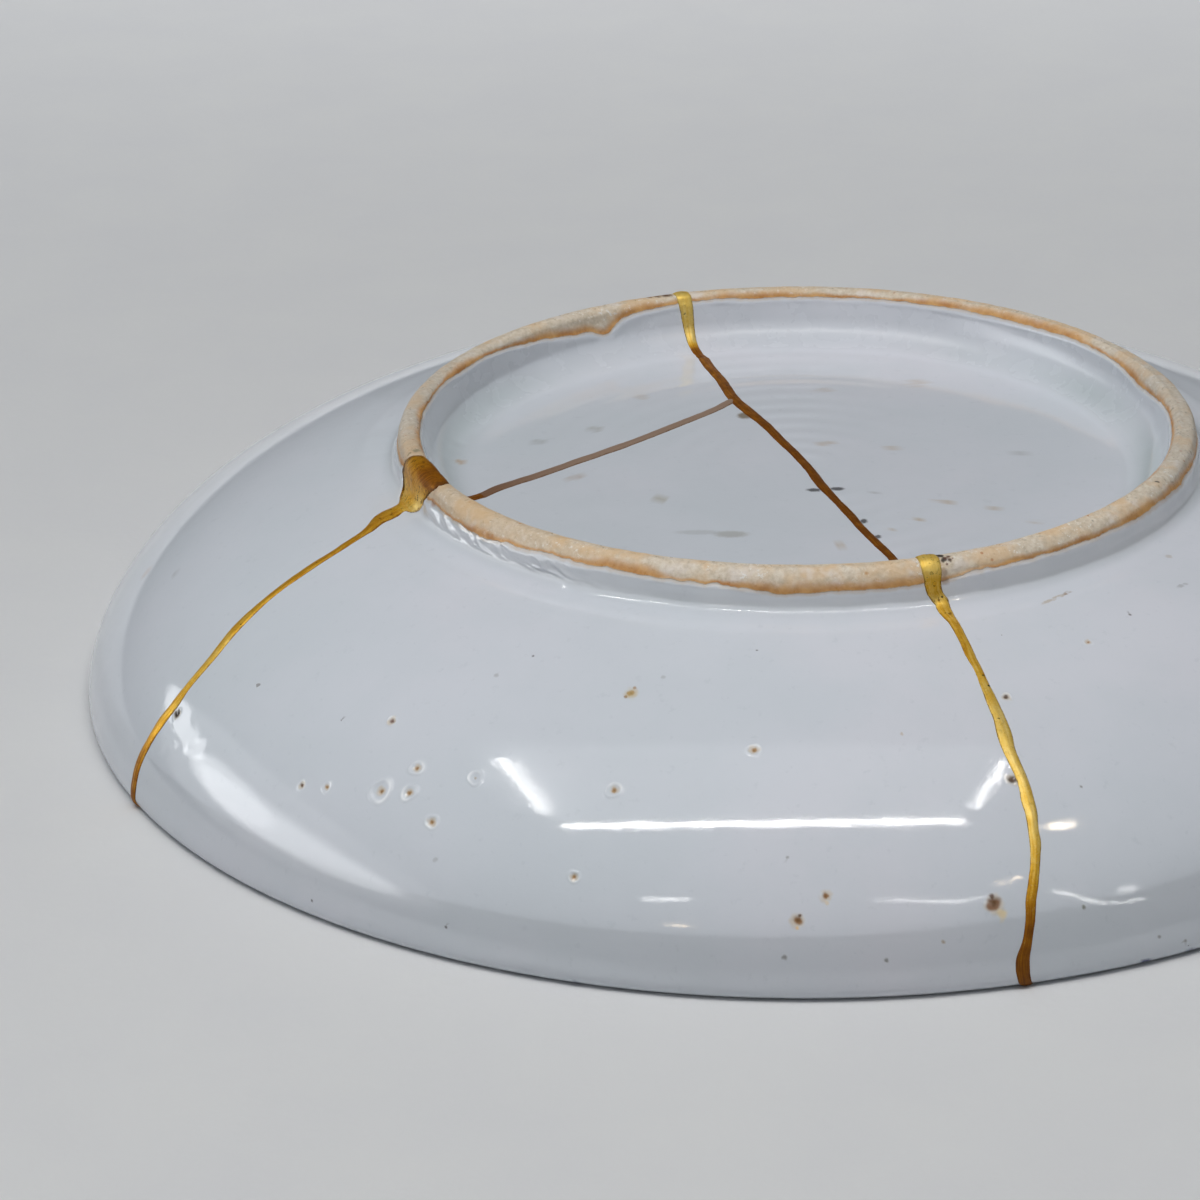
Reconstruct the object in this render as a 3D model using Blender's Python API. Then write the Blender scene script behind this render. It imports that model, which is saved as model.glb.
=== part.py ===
"""A small round porcelain dish mended with gold lacquer, lying upside down on its rim.

Metres, +Z up. The origin is the middle of the rim's plane, where the dish stands,
and +Z is the axis that the dish was thrown on. The foot ring is uppermost.
Three sherds of porcelain are joined by one T-shaped seam of lacquer and gold.
"""
import bpy
import bmesh
import math
from mathutils import Vector

MM = 0.001

# ---- the thrown and glazed form
RIM_R = 76.0 * MM          # outer radius of the rim
HEIGHT = 28.1 * MM         # rim plane to the crest of the foot ring
LIP_OUT_R = 1.26 * MM      # rounding of the rim, outer side
LIP_IN_R = 0.90 * MM       # rounding of the rim, inner side
RIM_WALL = 2.80 * MM       # wall thickness at the rim
FOOT_R = 40.7 * MM         # middle of the foot ring's crest
FOOT_BEAD = 1.15 * MM      # half the thickness of the foot ring
CREST_FLAT = 0.70 * MM     # narrow flat ground on the crest
FOOT_OUTER = 4.44 * MM     # height of the foot ring, outer side
FOOT_INNER = 5.60 * MM     # depth of the recess inside the foot ring
FOOT_FILLET = 2.60 * MM    # cove between the foot's inner side and the base
SHOULDER_R = 42.85 * MM    # where the outer wall leaves the foot
COVE_R = 0.55 * MM         # cove between the foot's outer side and the wall
WELL_FLOOR = 19.4 * MM     # inner floor of the dish above the rim plane
WELL_R = 34.0 * MM         # radius of the flat part of the inner floor
BELLY_OUT = (1.672, 1.705) # fullness of the outer wall's swelling curve
BELLY_IN = (2.30, 1.70)    # the same for the inner wall
WALL_STEPS = 11
TURN_STEPS = 72

# ---- the mend
SEAM_W = 1.20 * MM         # width of the lacquer seam
SEAM_GAP = 0.30 * MM       # clearance between the seam and a sherd
SEAM_PROUD = 0.22 * MM     # how far the seam stands above the glaze
MEET = (-6.7, 19.2)        # where the cross crack meets the long one
LONG_CRACK_BACK = [(-6.7, 19.2), (-9.9, 30.2), (-12.4, 38.4), (-15.4, 49.0), (-20.6, 63.0), (-23.4, 79.0)]
LONG_CRACK_FRONT = [(-6.7, 19.2), (-3.2, 11.3), (1.4, -1.3), (5.6, -14.1), (9.7, -25.7), (12.8, -39.0),
                    (16.4, -48.0), (20.3, -60.5), (21.9, -68.0), (20.7, -79.0)]
CROSS_CRACK = [(-6.7, 19.2), (-20.8, 3.0), (-33.2, -8.9), (-40.0, -15.6), (-44.2, -20.8), (-53.0, -27.9),
               (-60.7, -34.5), (-69.5, -38.6)]
CRACK_STEPS = 4            # short chords between two turning points of a crack

# ---- the filled chip in the foot ring, over the cross crack
CHIP_ANGLE = math.radians(-158.5)
CHIP_FLOOR = 23.95 * MM
CHIP_TOP = (-3.45 * MM, 4.60 * MM)     # reach either way along the ring, at the crest
CHIP_BOTTOM = (-1.40 * MM, 1.65 * MM)  # the same at the chip's floor
CHIP_IN, CHIP_OUT = 37.2 * MM, 44.0 * MM


def clear_scene():
    for ob in list(bpy.data.objects):
        bpy.data.objects.remove(ob, do_unlink=True)


def principled(name, colour, roughness, metallic=0.0, coat=0.0):
    mat = bpy.data.materials.new(name)
    mat.use_nodes = True
    bsdf = mat.node_tree.nodes["Principled BSDF"]
    bsdf.inputs["Base Color"].default_value = (*colour, 1.0)
    bsdf.inputs["Roughness"].default_value = roughness
    bsdf.inputs["Metallic"].default_value = metallic
    bsdf.inputs["Coat Weight"].default_value = coat
    mat.diffuse_color = (*colour, 1.0)
    return mat


def arc(cx, cz, rx, rz, start, end, steps):
    """Points on an ellipse's arc, both ends included; angles in degrees."""
    out = []
    for i in range(steps + 1):
        a = math.radians(start + (end - start) * i / steps)
        out.append((cx + rx * math.cos(a), cz + rz * math.sin(a)))
    return out


def belly(r0, r1, z0, z1, power, steps):
    """Swelling wall from the rim (r1, z0) up to the foot (r0, z1), nearly upright at the rim."""
    n, m = power
    out = []
    for i in range(steps + 1):
        u = math.sin(math.pi / 2 * (1 - i / steps))
        out.append((r0 + (r1 - r0) * u, z0 + (z1 - z0) * (1 - u ** n) ** (1 / m)))
    return out


def dish_profile(proud=0.0):
    """Half section from the axis at the base, out over the foot, down to the rim and back along the well.

    proud thickens it on both faces; the crest and the rim plane stay where they are.
    """
    p = proud
    base_z = HEIGHT - FOOT_INNER
    wall_z = HEIGHT - FOOT_OUTER
    in_r, out_r = FOOT_R - FOOT_BEAD, FOOT_R + FOOT_BEAD
    flat = CREST_FLAT / 2
    pts = [(0.0, base_z + p)]
    pts += arc(in_r - p - FOOT_FILLET, base_z + p + FOOT_FILLET, FOOT_FILLET, FOOT_FILLET, 270, 350, 3)
    pts.append((in_r - p, HEIGHT - FOOT_BEAD))
    pts += arc(FOOT_R - flat, HEIGHT - FOOT_BEAD, FOOT_BEAD - flat + p, FOOT_BEAD, 150, 90, 2)
    pts += arc(FOOT_R + flat, HEIGHT - FOOT_BEAD, FOOT_BEAD - flat + p, FOOT_BEAD, 90, 0, 3)
    pts.append((out_r + p, wall_z + COVE_R + p))
    pts.append((out_r + p + COVE_R * 0.45, wall_z + COVE_R * 0.25 + p))
    wall = belly(SHOULDER_R, RIM_R, LIP_OUT_R, wall_z, BELLY_OUT, WALL_STEPS)
    pts += [(r + p, z + p * (z - LIP_OUT_R) / (wall_z - LIP_OUT_R)) for r, z in reversed(wall)]
    pts += arc(RIM_R - LIP_OUT_R, LIP_OUT_R, LIP_OUT_R + p, LIP_OUT_R, -30, -90, 2)
    well_r = RIM_R - RIM_WALL
    pts += arc(well_r + LIP_IN_R, LIP_IN_R, LIP_IN_R + p, LIP_IN_R, 270, 210, 2)
    well = belly(WELL_R, well_r, LIP_IN_R, WELL_FLOOR, BELLY_IN, WALL_STEPS)
    pts += [(r - p, z - p * (z - LIP_IN_R) / (WELL_FLOOR - LIP_IN_R)) for r, z in well]
    pts.append((0.0, WELL_FLOOR - p))
    return pts


def turned(name, profile):
    """A solid of revolution about Z from a half section that starts and ends on the axis."""
    bm = bmesh.new()
    verts = [bm.verts.new((r, 0.0, z)) for r, z in profile]
    edges = [bm.edges.new((a, b)) for a, b in zip(verts, verts[1:])]
    bmesh.ops.spin(bm, geom=verts + edges, cent=(0, 0, 0), axis=(0, 0, 1),
                   angle=2 * math.pi, steps=TURN_STEPS, use_merge=True)
    bmesh.ops.remove_doubles(bm, verts=bm.verts, dist=1e-6)
    bmesh.ops.recalc_face_normals(bm, faces=bm.faces)
    mesh = bpy.data.meshes.new(name)
    bm.to_mesh(mesh)
    bm.free()
    return bpy.data.objects.new(name, mesh)


def smooth_path(points, steps):
    """A centripetal-like smooth line through a crack's turning points, in metres."""
    pts = [Vector((x * MM, y * MM)) for x, y in points]
    ends = [pts[0] * 2 - pts[1]] + pts + [pts[-1] * 2 - pts[-2]]
    out = []
    for i in range(1, len(ends) - 2):
        p0, p1, p2, p3 = ends[i - 1:i + 3]
        for k in range(steps):
            t = k / steps
            out.append(0.5 * ((2 * p1) + (p2 - p0) * t + (2 * p0 - 5 * p1 + 4 * p2 - p3) * t * t
                              + (3 * p1 - p0 - 3 * p2 + p3) * t ** 3))
    out.append(pts[-1])
    return out


def ribbon(name, line, half, z0, z1):
    """An upright band of one width that follows a line seen from above."""
    left, right = [], []
    for i, p in enumerate(line):
        d = (line[min(i + 1, len(line) - 1)] - line[max(i - 1, 0)]).normalized()
        n = Vector((-d.y, d.x)) * half
        left.append(p + n)
        right.append(p - n)
    ring = left + right[::-1]
    bm = bmesh.new()
    low = [bm.verts.new((p.x, p.y, z0)) for p in ring]
    high = [bm.verts.new((p.x, p.y, z1)) for p in ring]
    n = len(left)
    for i in range(n - 1):
        j = 2 * n - 1 - i
        bm.faces.new((high[i], high[i + 1], high[j - 1], high[j]))
        bm.faces.new((low[j], low[j - 1], low[i + 1], low[i]))
    for i in range(2 * n):
        k = (i + 1) % (2 * n)
        bm.faces.new((low[i], low[k], high[k], high[i]))
    bmesh.ops.recalc_face_normals(bm, faces=bm.faces)
    mesh = bpy.data.meshes.new(name)
    bm.to_mesh(mesh)
    bm.free()
    return bpy.data.objects.new(name, mesh)


def chip_wedge(name, grow):
    """The V-shaped piece that broke out of the foot ring, as a block across the ring."""
    radial = Vector((math.cos(CHIP_ANGLE), math.sin(CHIP_ANGLE), 0))
    along = Vector((-math.sin(CHIP_ANGLE), math.cos(CHIP_ANGLE), 0))
    top = HEIGHT + 2 * MM
    rise = (top - CHIP_FLOOR) / (HEIGHT - CHIP_FLOOR)
    low_a, low_b = CHIP_BOTTOM
    high_a = low_a + (CHIP_TOP[0] - low_a) * rise
    high_b = low_b + (CHIP_TOP[1] - low_b) * rise
    section = [(low_a - grow, CHIP_FLOOR - grow), (low_b + grow, CHIP_FLOOR - grow),
               (high_b + grow, top), (high_a - grow, top)]
    bm = bmesh.new()
    rings = []
    for r in (CHIP_IN - grow, CHIP_OUT + grow):
        rings.append([bm.verts.new(radial * r + along * t + Vector((0, 0, z))) for t, z in section])
    bm.faces.new(rings[0])
    bm.faces.new(rings[1][::-1])
    for i in range(4):
        k = (i + 1) % 4
        bm.faces.new((rings[0][i], rings[1][i], rings[1][k], rings[0][k]))
    bmesh.ops.recalc_face_normals(bm, faces=bm.faces)
    mesh = bpy.data.meshes.new(name)
    bm.to_mesh(mesh)
    bm.free()
    return bpy.data.objects.new(name, mesh)


def boolean(target, cutter, operation):
    """Applies an exact Boolean and leaves the result as target's own mesh."""
    scene = bpy.context.scene.collection
    for ob in (target, cutter):
        if ob.name not in scene.objects:
            scene.objects.link(ob)
    mod = target.modifiers.new(operation.lower(), "BOOLEAN")
    mod.operation = operation
    mod.solver = "EXACT"
    mod.object = cutter
    bpy.context.view_layer.update()
    made = bpy.data.meshes.new_from_object(target.evaluated_get(bpy.context.evaluated_depsgraph_get()))
    target.modifiers.remove(mod)
    target.data = made


def islands(ob):
    """The separate bodies of a mesh, each as a bmesh of its own."""
    whole = bmesh.new()
    whole.from_mesh(ob.data)
    whole.verts.ensure_lookup_table()
    seen, groups = set(), []
    for v in whole.verts:
        if v.index in seen:
            continue
        stack, group = [v], set()
        while stack:
            a = stack.pop()
            if a.index in group:
                continue
            group.add(a.index)
            stack += [e.other_vert(a) for e in a.link_edges]
        seen |= group
        groups.append(group)
    out = []
    for group in groups:
        part = whole.copy()
        part.verts.ensure_lookup_table()
        bmesh.ops.delete(part, geom=[v for v in part.verts if v.index not in group], context="VERTS")
        out.append(part)
    whole.free()
    return out


def finish_object(name, mesh, material):
    mesh.materials.clear()
    mesh.materials.append(material)
    mesh.shade_smooth()
    mesh.set_sharp_from_angle(angle=math.radians(32))
    ob = bpy.data.objects.new(name, mesh)
    bpy.context.scene.collection.objects.link(ob)
    return ob


def build():
    clear_scene()
    glaze = principled("porcelain_glaze", (0.52, 0.55, 0.58), 0.12, coat=0.5)
    gold = principled("gold_lacquer", (0.74, 0.50, 0.15), 0.32, metallic=0.9)

    back = smooth_path(LONG_CRACK_BACK, CRACK_STEPS)
    front = smooth_path(LONG_CRACK_FRONT, CRACK_STEPS)
    long_line = back[::-1] + front[1:]
    cross_line = smooth_path(CROSS_CRACK, CRACK_STEPS)

    # the porcelain, broken in three along the cracks and chipped at the foot
    dish = turned("dish", dish_profile())
    half = SEAM_W / 2 + SEAM_GAP
    scratch = [dish]
    for cutter in (ribbon("long_cut", long_line, half, -3 * MM, 33 * MM),
                   ribbon("cross_cut", cross_line, half, -3 * MM, 33 * MM),
                   chip_wedge("chip_cut", SEAM_GAP)):
        boolean(dish, cutter, "DIFFERENCE")
        scratch.append(cutter)
    for part in islands(dish):
        centre = sum((v.co for v in part.verts), Vector()) / len(part.verts)
        if centre.x > 0:
            name = "right_sherd"
        elif centre.y > 0:
            name = "back_left_sherd"
        else:
            name = "front_left_sherd"
        mesh = bpy.data.meshes.new(name)
        part.to_mesh(mesh)
        part.free()
        finish_object(name, mesh, glaze)

    # the lacquer that fills the cracks and the chip, gold on its faces
    seam = turned("seam", dish_profile(SEAM_PROUD))
    plan = ribbon("long_fill", long_line, SEAM_W / 2, -3 * MM, 33 * MM)
    cross = ribbon("cross_fill", cross_line, SEAM_W / 2, -2 * MM, 32 * MM)
    chip = chip_wedge("chip_fill", 0.0)
    boolean(plan, cross, "UNION")
    boolean(plan, chip, "UNION")
    boolean(seam, plan, "INTERSECT")
    scratch += [seam, plan, cross, chip]
    finish_object("gold_seam", seam.data.copy(), gold)
    for ob in scratch:
        bpy.data.objects.remove(ob, do_unlink=True)


build()
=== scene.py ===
"""The looks of a small porcelain dish mended with gold lacquer (kintsugi), lying upside down on its rim.

Every length below is in millimetres until the meshes are made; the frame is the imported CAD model's:
+Z up, the origin in the middle of the rim's plane. The three sherds and the seam of lacquer each
replace their CAD node with a finer mesh of the same form.
"""
import math

import bmesh
import bpy
import numpy as np
from mathutils import Matrix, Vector
from mathutils.geometry import tessellate_polygon


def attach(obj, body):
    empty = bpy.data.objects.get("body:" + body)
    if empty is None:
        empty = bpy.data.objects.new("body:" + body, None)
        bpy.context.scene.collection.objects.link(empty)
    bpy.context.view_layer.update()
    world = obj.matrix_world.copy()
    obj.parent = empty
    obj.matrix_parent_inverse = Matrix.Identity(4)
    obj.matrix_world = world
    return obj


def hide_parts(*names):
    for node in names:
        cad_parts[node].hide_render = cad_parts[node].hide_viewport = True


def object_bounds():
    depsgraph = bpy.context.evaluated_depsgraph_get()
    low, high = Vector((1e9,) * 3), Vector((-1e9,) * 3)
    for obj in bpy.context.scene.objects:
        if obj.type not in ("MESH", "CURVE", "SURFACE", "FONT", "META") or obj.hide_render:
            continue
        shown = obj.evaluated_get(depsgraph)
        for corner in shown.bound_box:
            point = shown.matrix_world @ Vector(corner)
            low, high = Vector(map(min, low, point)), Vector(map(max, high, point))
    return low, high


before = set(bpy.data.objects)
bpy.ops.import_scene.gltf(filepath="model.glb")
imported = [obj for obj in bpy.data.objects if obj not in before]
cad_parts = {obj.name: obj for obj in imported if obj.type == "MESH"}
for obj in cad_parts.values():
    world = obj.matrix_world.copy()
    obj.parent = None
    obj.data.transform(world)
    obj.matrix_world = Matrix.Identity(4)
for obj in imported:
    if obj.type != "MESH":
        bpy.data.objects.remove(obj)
cad_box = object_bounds()
FINE = 1.0        # a coarser mesh while trying things

# ------------------------------------------------------------------ sizes, from the CAD model
low, high = (np.array(c) * 1000.0 for c in cad_box)
RIM_R = float(high[0])                    # 76
HEIGHT = float(high[2])                   # 28.1
FOOT_R, FOOT_BEAD, CREST_FLAT = 40.72, 1.15, 0.55
BASE_Z = HEIGHT - 5.6
WALL_Z = HEIGHT - 4.44
SHOULDER_R, LIP_OUT, LIP_IN, RIM_WALL = 42.85, 1.26, 0.90, 2.80
WELL_R, WELL_FLOOR = 34.0, 19.4
DISC_R = 34.0                             # inside this the base and the well are flat discs
FILLET_R, FILLET_W, FILLET_H = 35.0, 4.2, 4.4   # the hollow curve from the base up to the foot's inner side: where it starts, and its radii


# ------------------------------------------------------------------ helpers
def smooth(e0, e1, x):
    t = np.clip((np.asarray(x, float) - e0) / (e1 - e0), 0, 1)
    return t * t * (3 - 2 * t)


def bell(x, c, w):
    return np.exp(-((np.asarray(x, float) - c) / w) ** 2)


def curve(xs, ys):
    """A smooth curve through points given in order of x, flat beyond its ends."""
    xs, ys = np.asarray(xs, float), np.asarray(ys, float)
    d = np.diff(ys) / np.diff(xs)
    m = np.concatenate([[d[0]], (d[1:] * np.diff(xs)[:-1] + d[:-1] * np.diff(xs)[1:]) / (xs[2:] - xs[:-2]), [d[-1]]])

    def at(x):
        x = np.clip(np.asarray(x, float), xs[0], xs[-1])
        i = np.clip(np.searchsorted(xs, x) - 1, 0, len(xs) - 2)
        h = xs[i + 1] - xs[i]
        t = (x - xs[i]) / h
        return ((2 * t ** 3 - 3 * t ** 2 + 1) * ys[i] + (t ** 3 - 2 * t ** 2 + t) * h * m[i]
                + (3 * t ** 2 - 2 * t ** 3) * ys[i + 1] + (t ** 3 - t ** 2) * h * m[i + 1])
    return at


def lattice(ix, iy, iz, seed):
    h = (ix * 374761393 + iy * 668265263 + iz * 1274126177 + seed * 362437) & 0xFFFFFFFF
    h = ((h ^ (h >> 13)) * 1103515245) & 0xFFFFFFFF
    h = ((h ^ (h >> 15)) * 2654435761) & 0xFFFFFFFF
    return ((h ^ (h >> 16)) & 0xFFFFFF) / float(0xFFFFFF) * 2 - 1


def noise(points, size, seed=0):
    """Smooth value noise from -1 to 1 whose features are about size wide."""
    p = np.asarray(points, float) / size + 1000.5
    base = np.floor(p).astype(np.int64)
    f = p - base
    f = f * f * f * (f * (f * 6 - 15) + 10)
    out = 0.0
    for dx in (0, 1):
        wx = f[:, 0] if dx else 1 - f[:, 0]
        for dy in (0, 1):
            wy = f[:, 1] if dy else 1 - f[:, 1]
            for dz in (0, 1):
                wz = f[:, 2] if dz else 1 - f[:, 2]
                out = out + wx * wy * wz * lattice(base[:, 0] + dx, base[:, 1] + dy, base[:, 2] + dz, seed)
    return out


def fbm(points, size, octaves, seed=0):
    out, total = 0.0, 0.0
    for k in range(octaves):
        out = out + noise(points, size / 2 ** k, seed + 31 * k) / 2 ** k
        total += 1 / 2 ** k
    return out / total


def wave(x, size, seed=0):
    """The same noise along a line or round a circle given as plain numbers."""
    x = np.atleast_1d(np.asarray(x, float))
    return noise(np.stack([x, np.full_like(x, 3.7), np.full_like(x, 9.1)], -1), size, seed)


# ------------------------------------------------------------------ the half section, as one line
# from the flat base out over the foot, down the wall, round the rim and back along the well
def arc(cx, cz, rx, rz, a0, a1, n=40):
    a = np.radians(np.linspace(a0, a1, n))
    return np.stack([cx + rx * np.cos(a), cz + rz * np.sin(a)], -1)


def belly(r0, r1, z0, z1, power, n=900):
    u = np.sin(np.linspace(0, math.pi / 2, n))
    return np.stack([r0 + (r1 - r0) * u, z0 + (z1 - z0) * (1 - u ** power[0]) ** (1 / power[1])], -1)


def half_section():
    outer_r = FOOT_R + FOOT_BEAD
    flat = CREST_FLAT / 2
    parts = [np.array([[DISC_R, BASE_Z]])]
    parts.append(arc(FILLET_R, BASE_Z + FILLET_H, FILLET_W, FILLET_H, 270, 330))
    parts.append(arc(FOOT_R - flat, HEIGHT - FOOT_BEAD, FOOT_BEAD - flat, FOOT_BEAD, 158, 90))
    parts.append(arc(FOOT_R + flat, HEIGHT - FOOT_BEAD, FOOT_BEAD - flat, FOOT_BEAD, 90, 2))
    wall = belly(SHOULDER_R, RIM_R, LIP_OUT, WALL_Z, (1.672, 1.705))
    start = wall[np.searchsorted(wall[:, 0], SHOULDER_R + 1.05)]
    a, b, c = np.array([outer_r + 0.06, 25.35]), np.array([outer_r + 0.18, 23.75]), start
    t = np.linspace(0, 1, 40)[:, None]
    parts.append((1 - t) ** 2 * a + 2 * t * (1 - t) * b + t * t * c)
    parts.append(wall[wall[:, 0] > start[0] + 1e-6])
    parts.append(arc(RIM_R - LIP_OUT, LIP_OUT, LIP_OUT, LIP_OUT, -4, -90))
    well_r = RIM_R - RIM_WALL
    parts.append(arc(well_r + LIP_IN, LIP_IN, LIP_IN, LIP_IN, 270, 184))
    parts.append(belly(WELL_R, well_r, LIP_IN, WELL_FLOOR, (2.30, 1.70))[::-1])
    line = np.concatenate(parts)
    keep = np.concatenate([[True], np.hypot(*np.diff(line, axis=0).T) > 1e-4])
    return line[keep]


RAW = half_section()
RAW_S = np.concatenate([[0], np.cumsum(np.hypot(*np.diff(RAW, axis=0).T))])
SS = np.linspace(0, RAW_S[-1], 12001)
SR, SZ = np.interp(SS, RAW_S, RAW[:, 0]), np.interp(SS, RAW_S, RAW[:, 1])
kernel = np.exp(-np.linspace(-2, 2, 33) ** 2)
kernel /= kernel.sum()
TR, TZ = np.gradient(SR), np.gradient(SZ)
TR = np.convolve(np.pad(TR, 16, mode="edge"), kernel, "valid")
TZ = np.convolve(np.pad(TZ, 16, mode="edge"), kernel, "valid")
LEN = np.hypot(TR, TZ)
NR, NZ = -TZ / LEN, TR / LEN
TOP = int(np.argmax(SZ))
RIM_I = int(np.argmin(np.where(SR > 74, SZ, 99)))
S_TOP, S_FLOOR, S_END = SS[TOP], SS[RIM_I], SS[-1]


def s_inner(z):
    """Distance along the section to height z on the foot's inner side."""
    return float(np.interp(z, SZ[:TOP], SS[:TOP]))


def s_outer(z):
    """The same on the foot's outer side and the wall."""
    return float(np.interp(-z, -SZ[TOP:RIM_I], SS[TOP:RIM_I]))


def s_wall(r):
    """Distance along the section to radius r on the outer wall."""
    return np.interp(r, SR[TOP:RIM_I - 200], SS[TOP:RIM_I - 200])


S_FILLET, S_COVE, S_RIDGE = float(np.interp(FILLET_R + 0.3, SR[:TOP], SS[:TOP])), float(s_wall(42.6)), float(s_wall(46.3))
S_RIM = s_outer(1.3)
S_WELL = float(SS[RIM_I] + 1.9)


# ------------------------------------------------------------------ the cracks, seen from above
# each row is x, y and the width of its gold line
A_WALL = [(20.72, -73.8, 1.75), (21.30, -71.6, 0.98), (21.72, -69.4, 1.12), (21.93, -66.9, 1.10), (21.66, -64.5, 1.16),
          (21.12, -62.6, 1.24), (20.28, -60.5, 1.16), (19.60, -58.4, 1.40), (18.90, -55.8, 1.26), (17.90, -52.9, 0.99),
          (17.22, -50.3, 0.84), (16.36, -47.9, 1.02), (15.62, -45.1, 1.00)]
A_BASE = [(11.45, -34.3, 1.05), (9.70, -25.7, 0.90), (8.32, -22.0, 1.02), (6.88, -18.2, 0.92), (5.56, -14.1, 1.02), (4.10, -10.0, 0.92),
          (2.70, -6.0, 1.12), (1.36, -1.2, 1.02), (-0.12, 3.0, 1.04), (-1.75, 7.3, 1.10), (-3.34, 11.6, 1.16),
          (-5.10, 15.4, 1.34), (-6.75, 19.3, 1.30), (-8.28, 25.1, 1.22), (-9.85, 30.2, 1.20), (-10.75, 33.4, 1.25)]
A_BACK = [(-15.4, 49.0, 1.15), (-18.0, 56.3, 1.05), (-20.6, 63.0, 1.25), (-22.2, 69.6, 1.00), (-23.0, 74.2, 1.30)]
B_BASE = [(-6.75, 19.2, 1.10), (-8.85, 16.1, 1.10), (-12.9, 11.4, 1.16), (-16.8, 7.0, 1.22), (-20.75, 3.0, 1.24), (-23.7, 0.15, 1.26),
          (-27.5, -3.7, 1.30), (-31.3, -7.25, 1.30), (-33.7, -9.4, 1.35)]
B_WALL = [(-41.15, -16.85, 1.75), (-42.08, -17.42, 1.95), (-42.86, -18.5, 1.85), (-43.5, -19.8, 1.35), (-44.4, -21.0, 1.12),
          (-46.6, -23.1, 0.95), (-48.3, -24.4, 1.06), (-51.4, -26.75, 0.92), (-54.3, -29.1, 1.12), (-55.8, -30.3, 1.28),
          (-58.1, -32.7, 1.14), (-60.6, -34.5, 1.00), (-62.2, -35.7, 1.60), (-64.0, -36.1, 1.26), (-66.1, -36.8, 1.40)]


def polar(rows, unwrap=False):
    a = np.array(rows)
    th = np.degrees(np.arctan2(a[:, 1], a[:, 0]))
    if unwrap:
        th = np.where(th > 0, th - 360, th)
    return np.hypot(a[:, 0], a[:, 1]), th


def angle_of(r, th):
    o = np.argsort(r)
    return curve(np.asarray(r)[o], np.asarray(th)[o])


ra, ta = polar(A_WALL)
CRACK_FRONT = angle_of([*ra, 34.3, 36.2, 39.7, 41.9, 43.0], [*ta, *[-71.6, -71.9, -72.1, -72.0, -71.2]])
ra, ta = polar(A_BACK)
CRACK_BACK = angle_of([*ra, 35.1, 37.0, 39.6, 40.7, 42.2], [*ta, 107.85, 108.35, 108.8, 108.75, 108.4])
ra, ta = polar(B_WALL, True)
CRACK_LEFT = angle_of([*ra, 35.0, 38.0, 40.5, 42.5], [*ta, -164.4, -161.6, -160.4, -159.2])


def dense(rows, step=0.25):
    """A fine line through x, y, width rows: (N, 3)."""
    a = np.array(rows, float)
    d = np.concatenate([[0], np.cumsum(np.hypot(np.diff(a[:, 0]), np.diff(a[:, 1])))])
    n = max(2, int(round(d[-1] / step)) + 1)
    t = np.linspace(0, d[-1], n)
    return np.stack([curve(d, a[:, k])(t) for k in range(3)], -1)


def disc_point(crack):
    th = math.radians(float(crack(DISC_R)))
    return (DISC_R * math.cos(th), DISC_R * math.sin(th))


A_LINE = dense([(*disc_point(CRACK_FRONT), 1.05), *[(x, y, w * 1.08 + 0.04) for x, y, w in A_BASE[1:-1]], (*disc_point(CRACK_BACK), 1.35)])
B_LINE = dense([*[(x, y, w * 1.10) for x, y, w in B_BASE[:-1]], (*disc_point(CRACK_LEFT), 1.40)])
MEET = np.array(A_BASE[12][:2])
MEET_I = int(np.argmin(np.hypot(*(A_LINE[:, :2] - MEET).T)))


# ------------------------------------------------------------------ what the surface carries
# pits and pinholes in the glaze: x, y, crater radius, depth, height of its rim
PITS = [(-38.95, -57.75, 1.15, 0.30, 0.075), (-36.17, -58.99, 0.78, 0.24, 0.075), (-35.53, -57.06, 0.74, 0.22, 0.07),
        (-33.80, -62.10, 0.66, 0.18, 0.05), (-38.34, -51.41, 0.52, 0.16, 0.06), (-47.00, -53.44, 0.48, 0.20, 0.045),
        (-44.41, -54.95, 0.55, 0.15, 0.05), (-16.67, -63.67, 0.74, 0.26, 0.085), (-3.78, -61.07, 0.66, 0.18, 0.06),
        (-20.19, -69.45, 0.52, 0.16, 0.05), (0.30, -73.80, 0.60, 0.14, 0.010), (2.79, -72.46, 0.52, 0.12, 0.012),
        (18.10, -71.25, 0.80, 0.16, 0.012), (19.73, -53.56, 0.50, 0.20, 0.05), (20.02, -62.06, 0.52, 0.14, 0.006),
        (27.92, -44.60, 0.50, 0.14, 0.02), (-15.40, -53.83, 0.46, 0.05, 0.0), (-29.84, -59.78, 0.70, 0.20, 0.08),
        (-61.45, -36.75, 0.60, 0.20, 0.02),
        (52.0, -38.0, 0.55, 0.16, 0.05), (61.5, 8.5, 0.60, 0.18, 0.05), (33.0, 52.0, 0.55, 0.16, 0.05), (-28.0, 55.0, 0.60, 0.18, 0.05)]
pits = np.array(PITS)
# the side of each pit's rim where its painted glint is strongest, in degrees
PIT_GLINT_SIDE = [-40, -160, 0, -130, 90, 60, 0, 60, 90, -90, 20, 120, -45, 90, 120, -90, 0, 150, -45, 0, 90, 180, 45]
PIT_TH = np.arctan2(pits[:, 1], pits[:, 0])
PIT_S = s_wall(np.hypot(pits[:, 0], pits[:, 1]))
PIT_P = np.stack([pits[:, 0], pits[:, 1], np.interp(PIT_S, SS, SZ)], -1)

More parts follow.
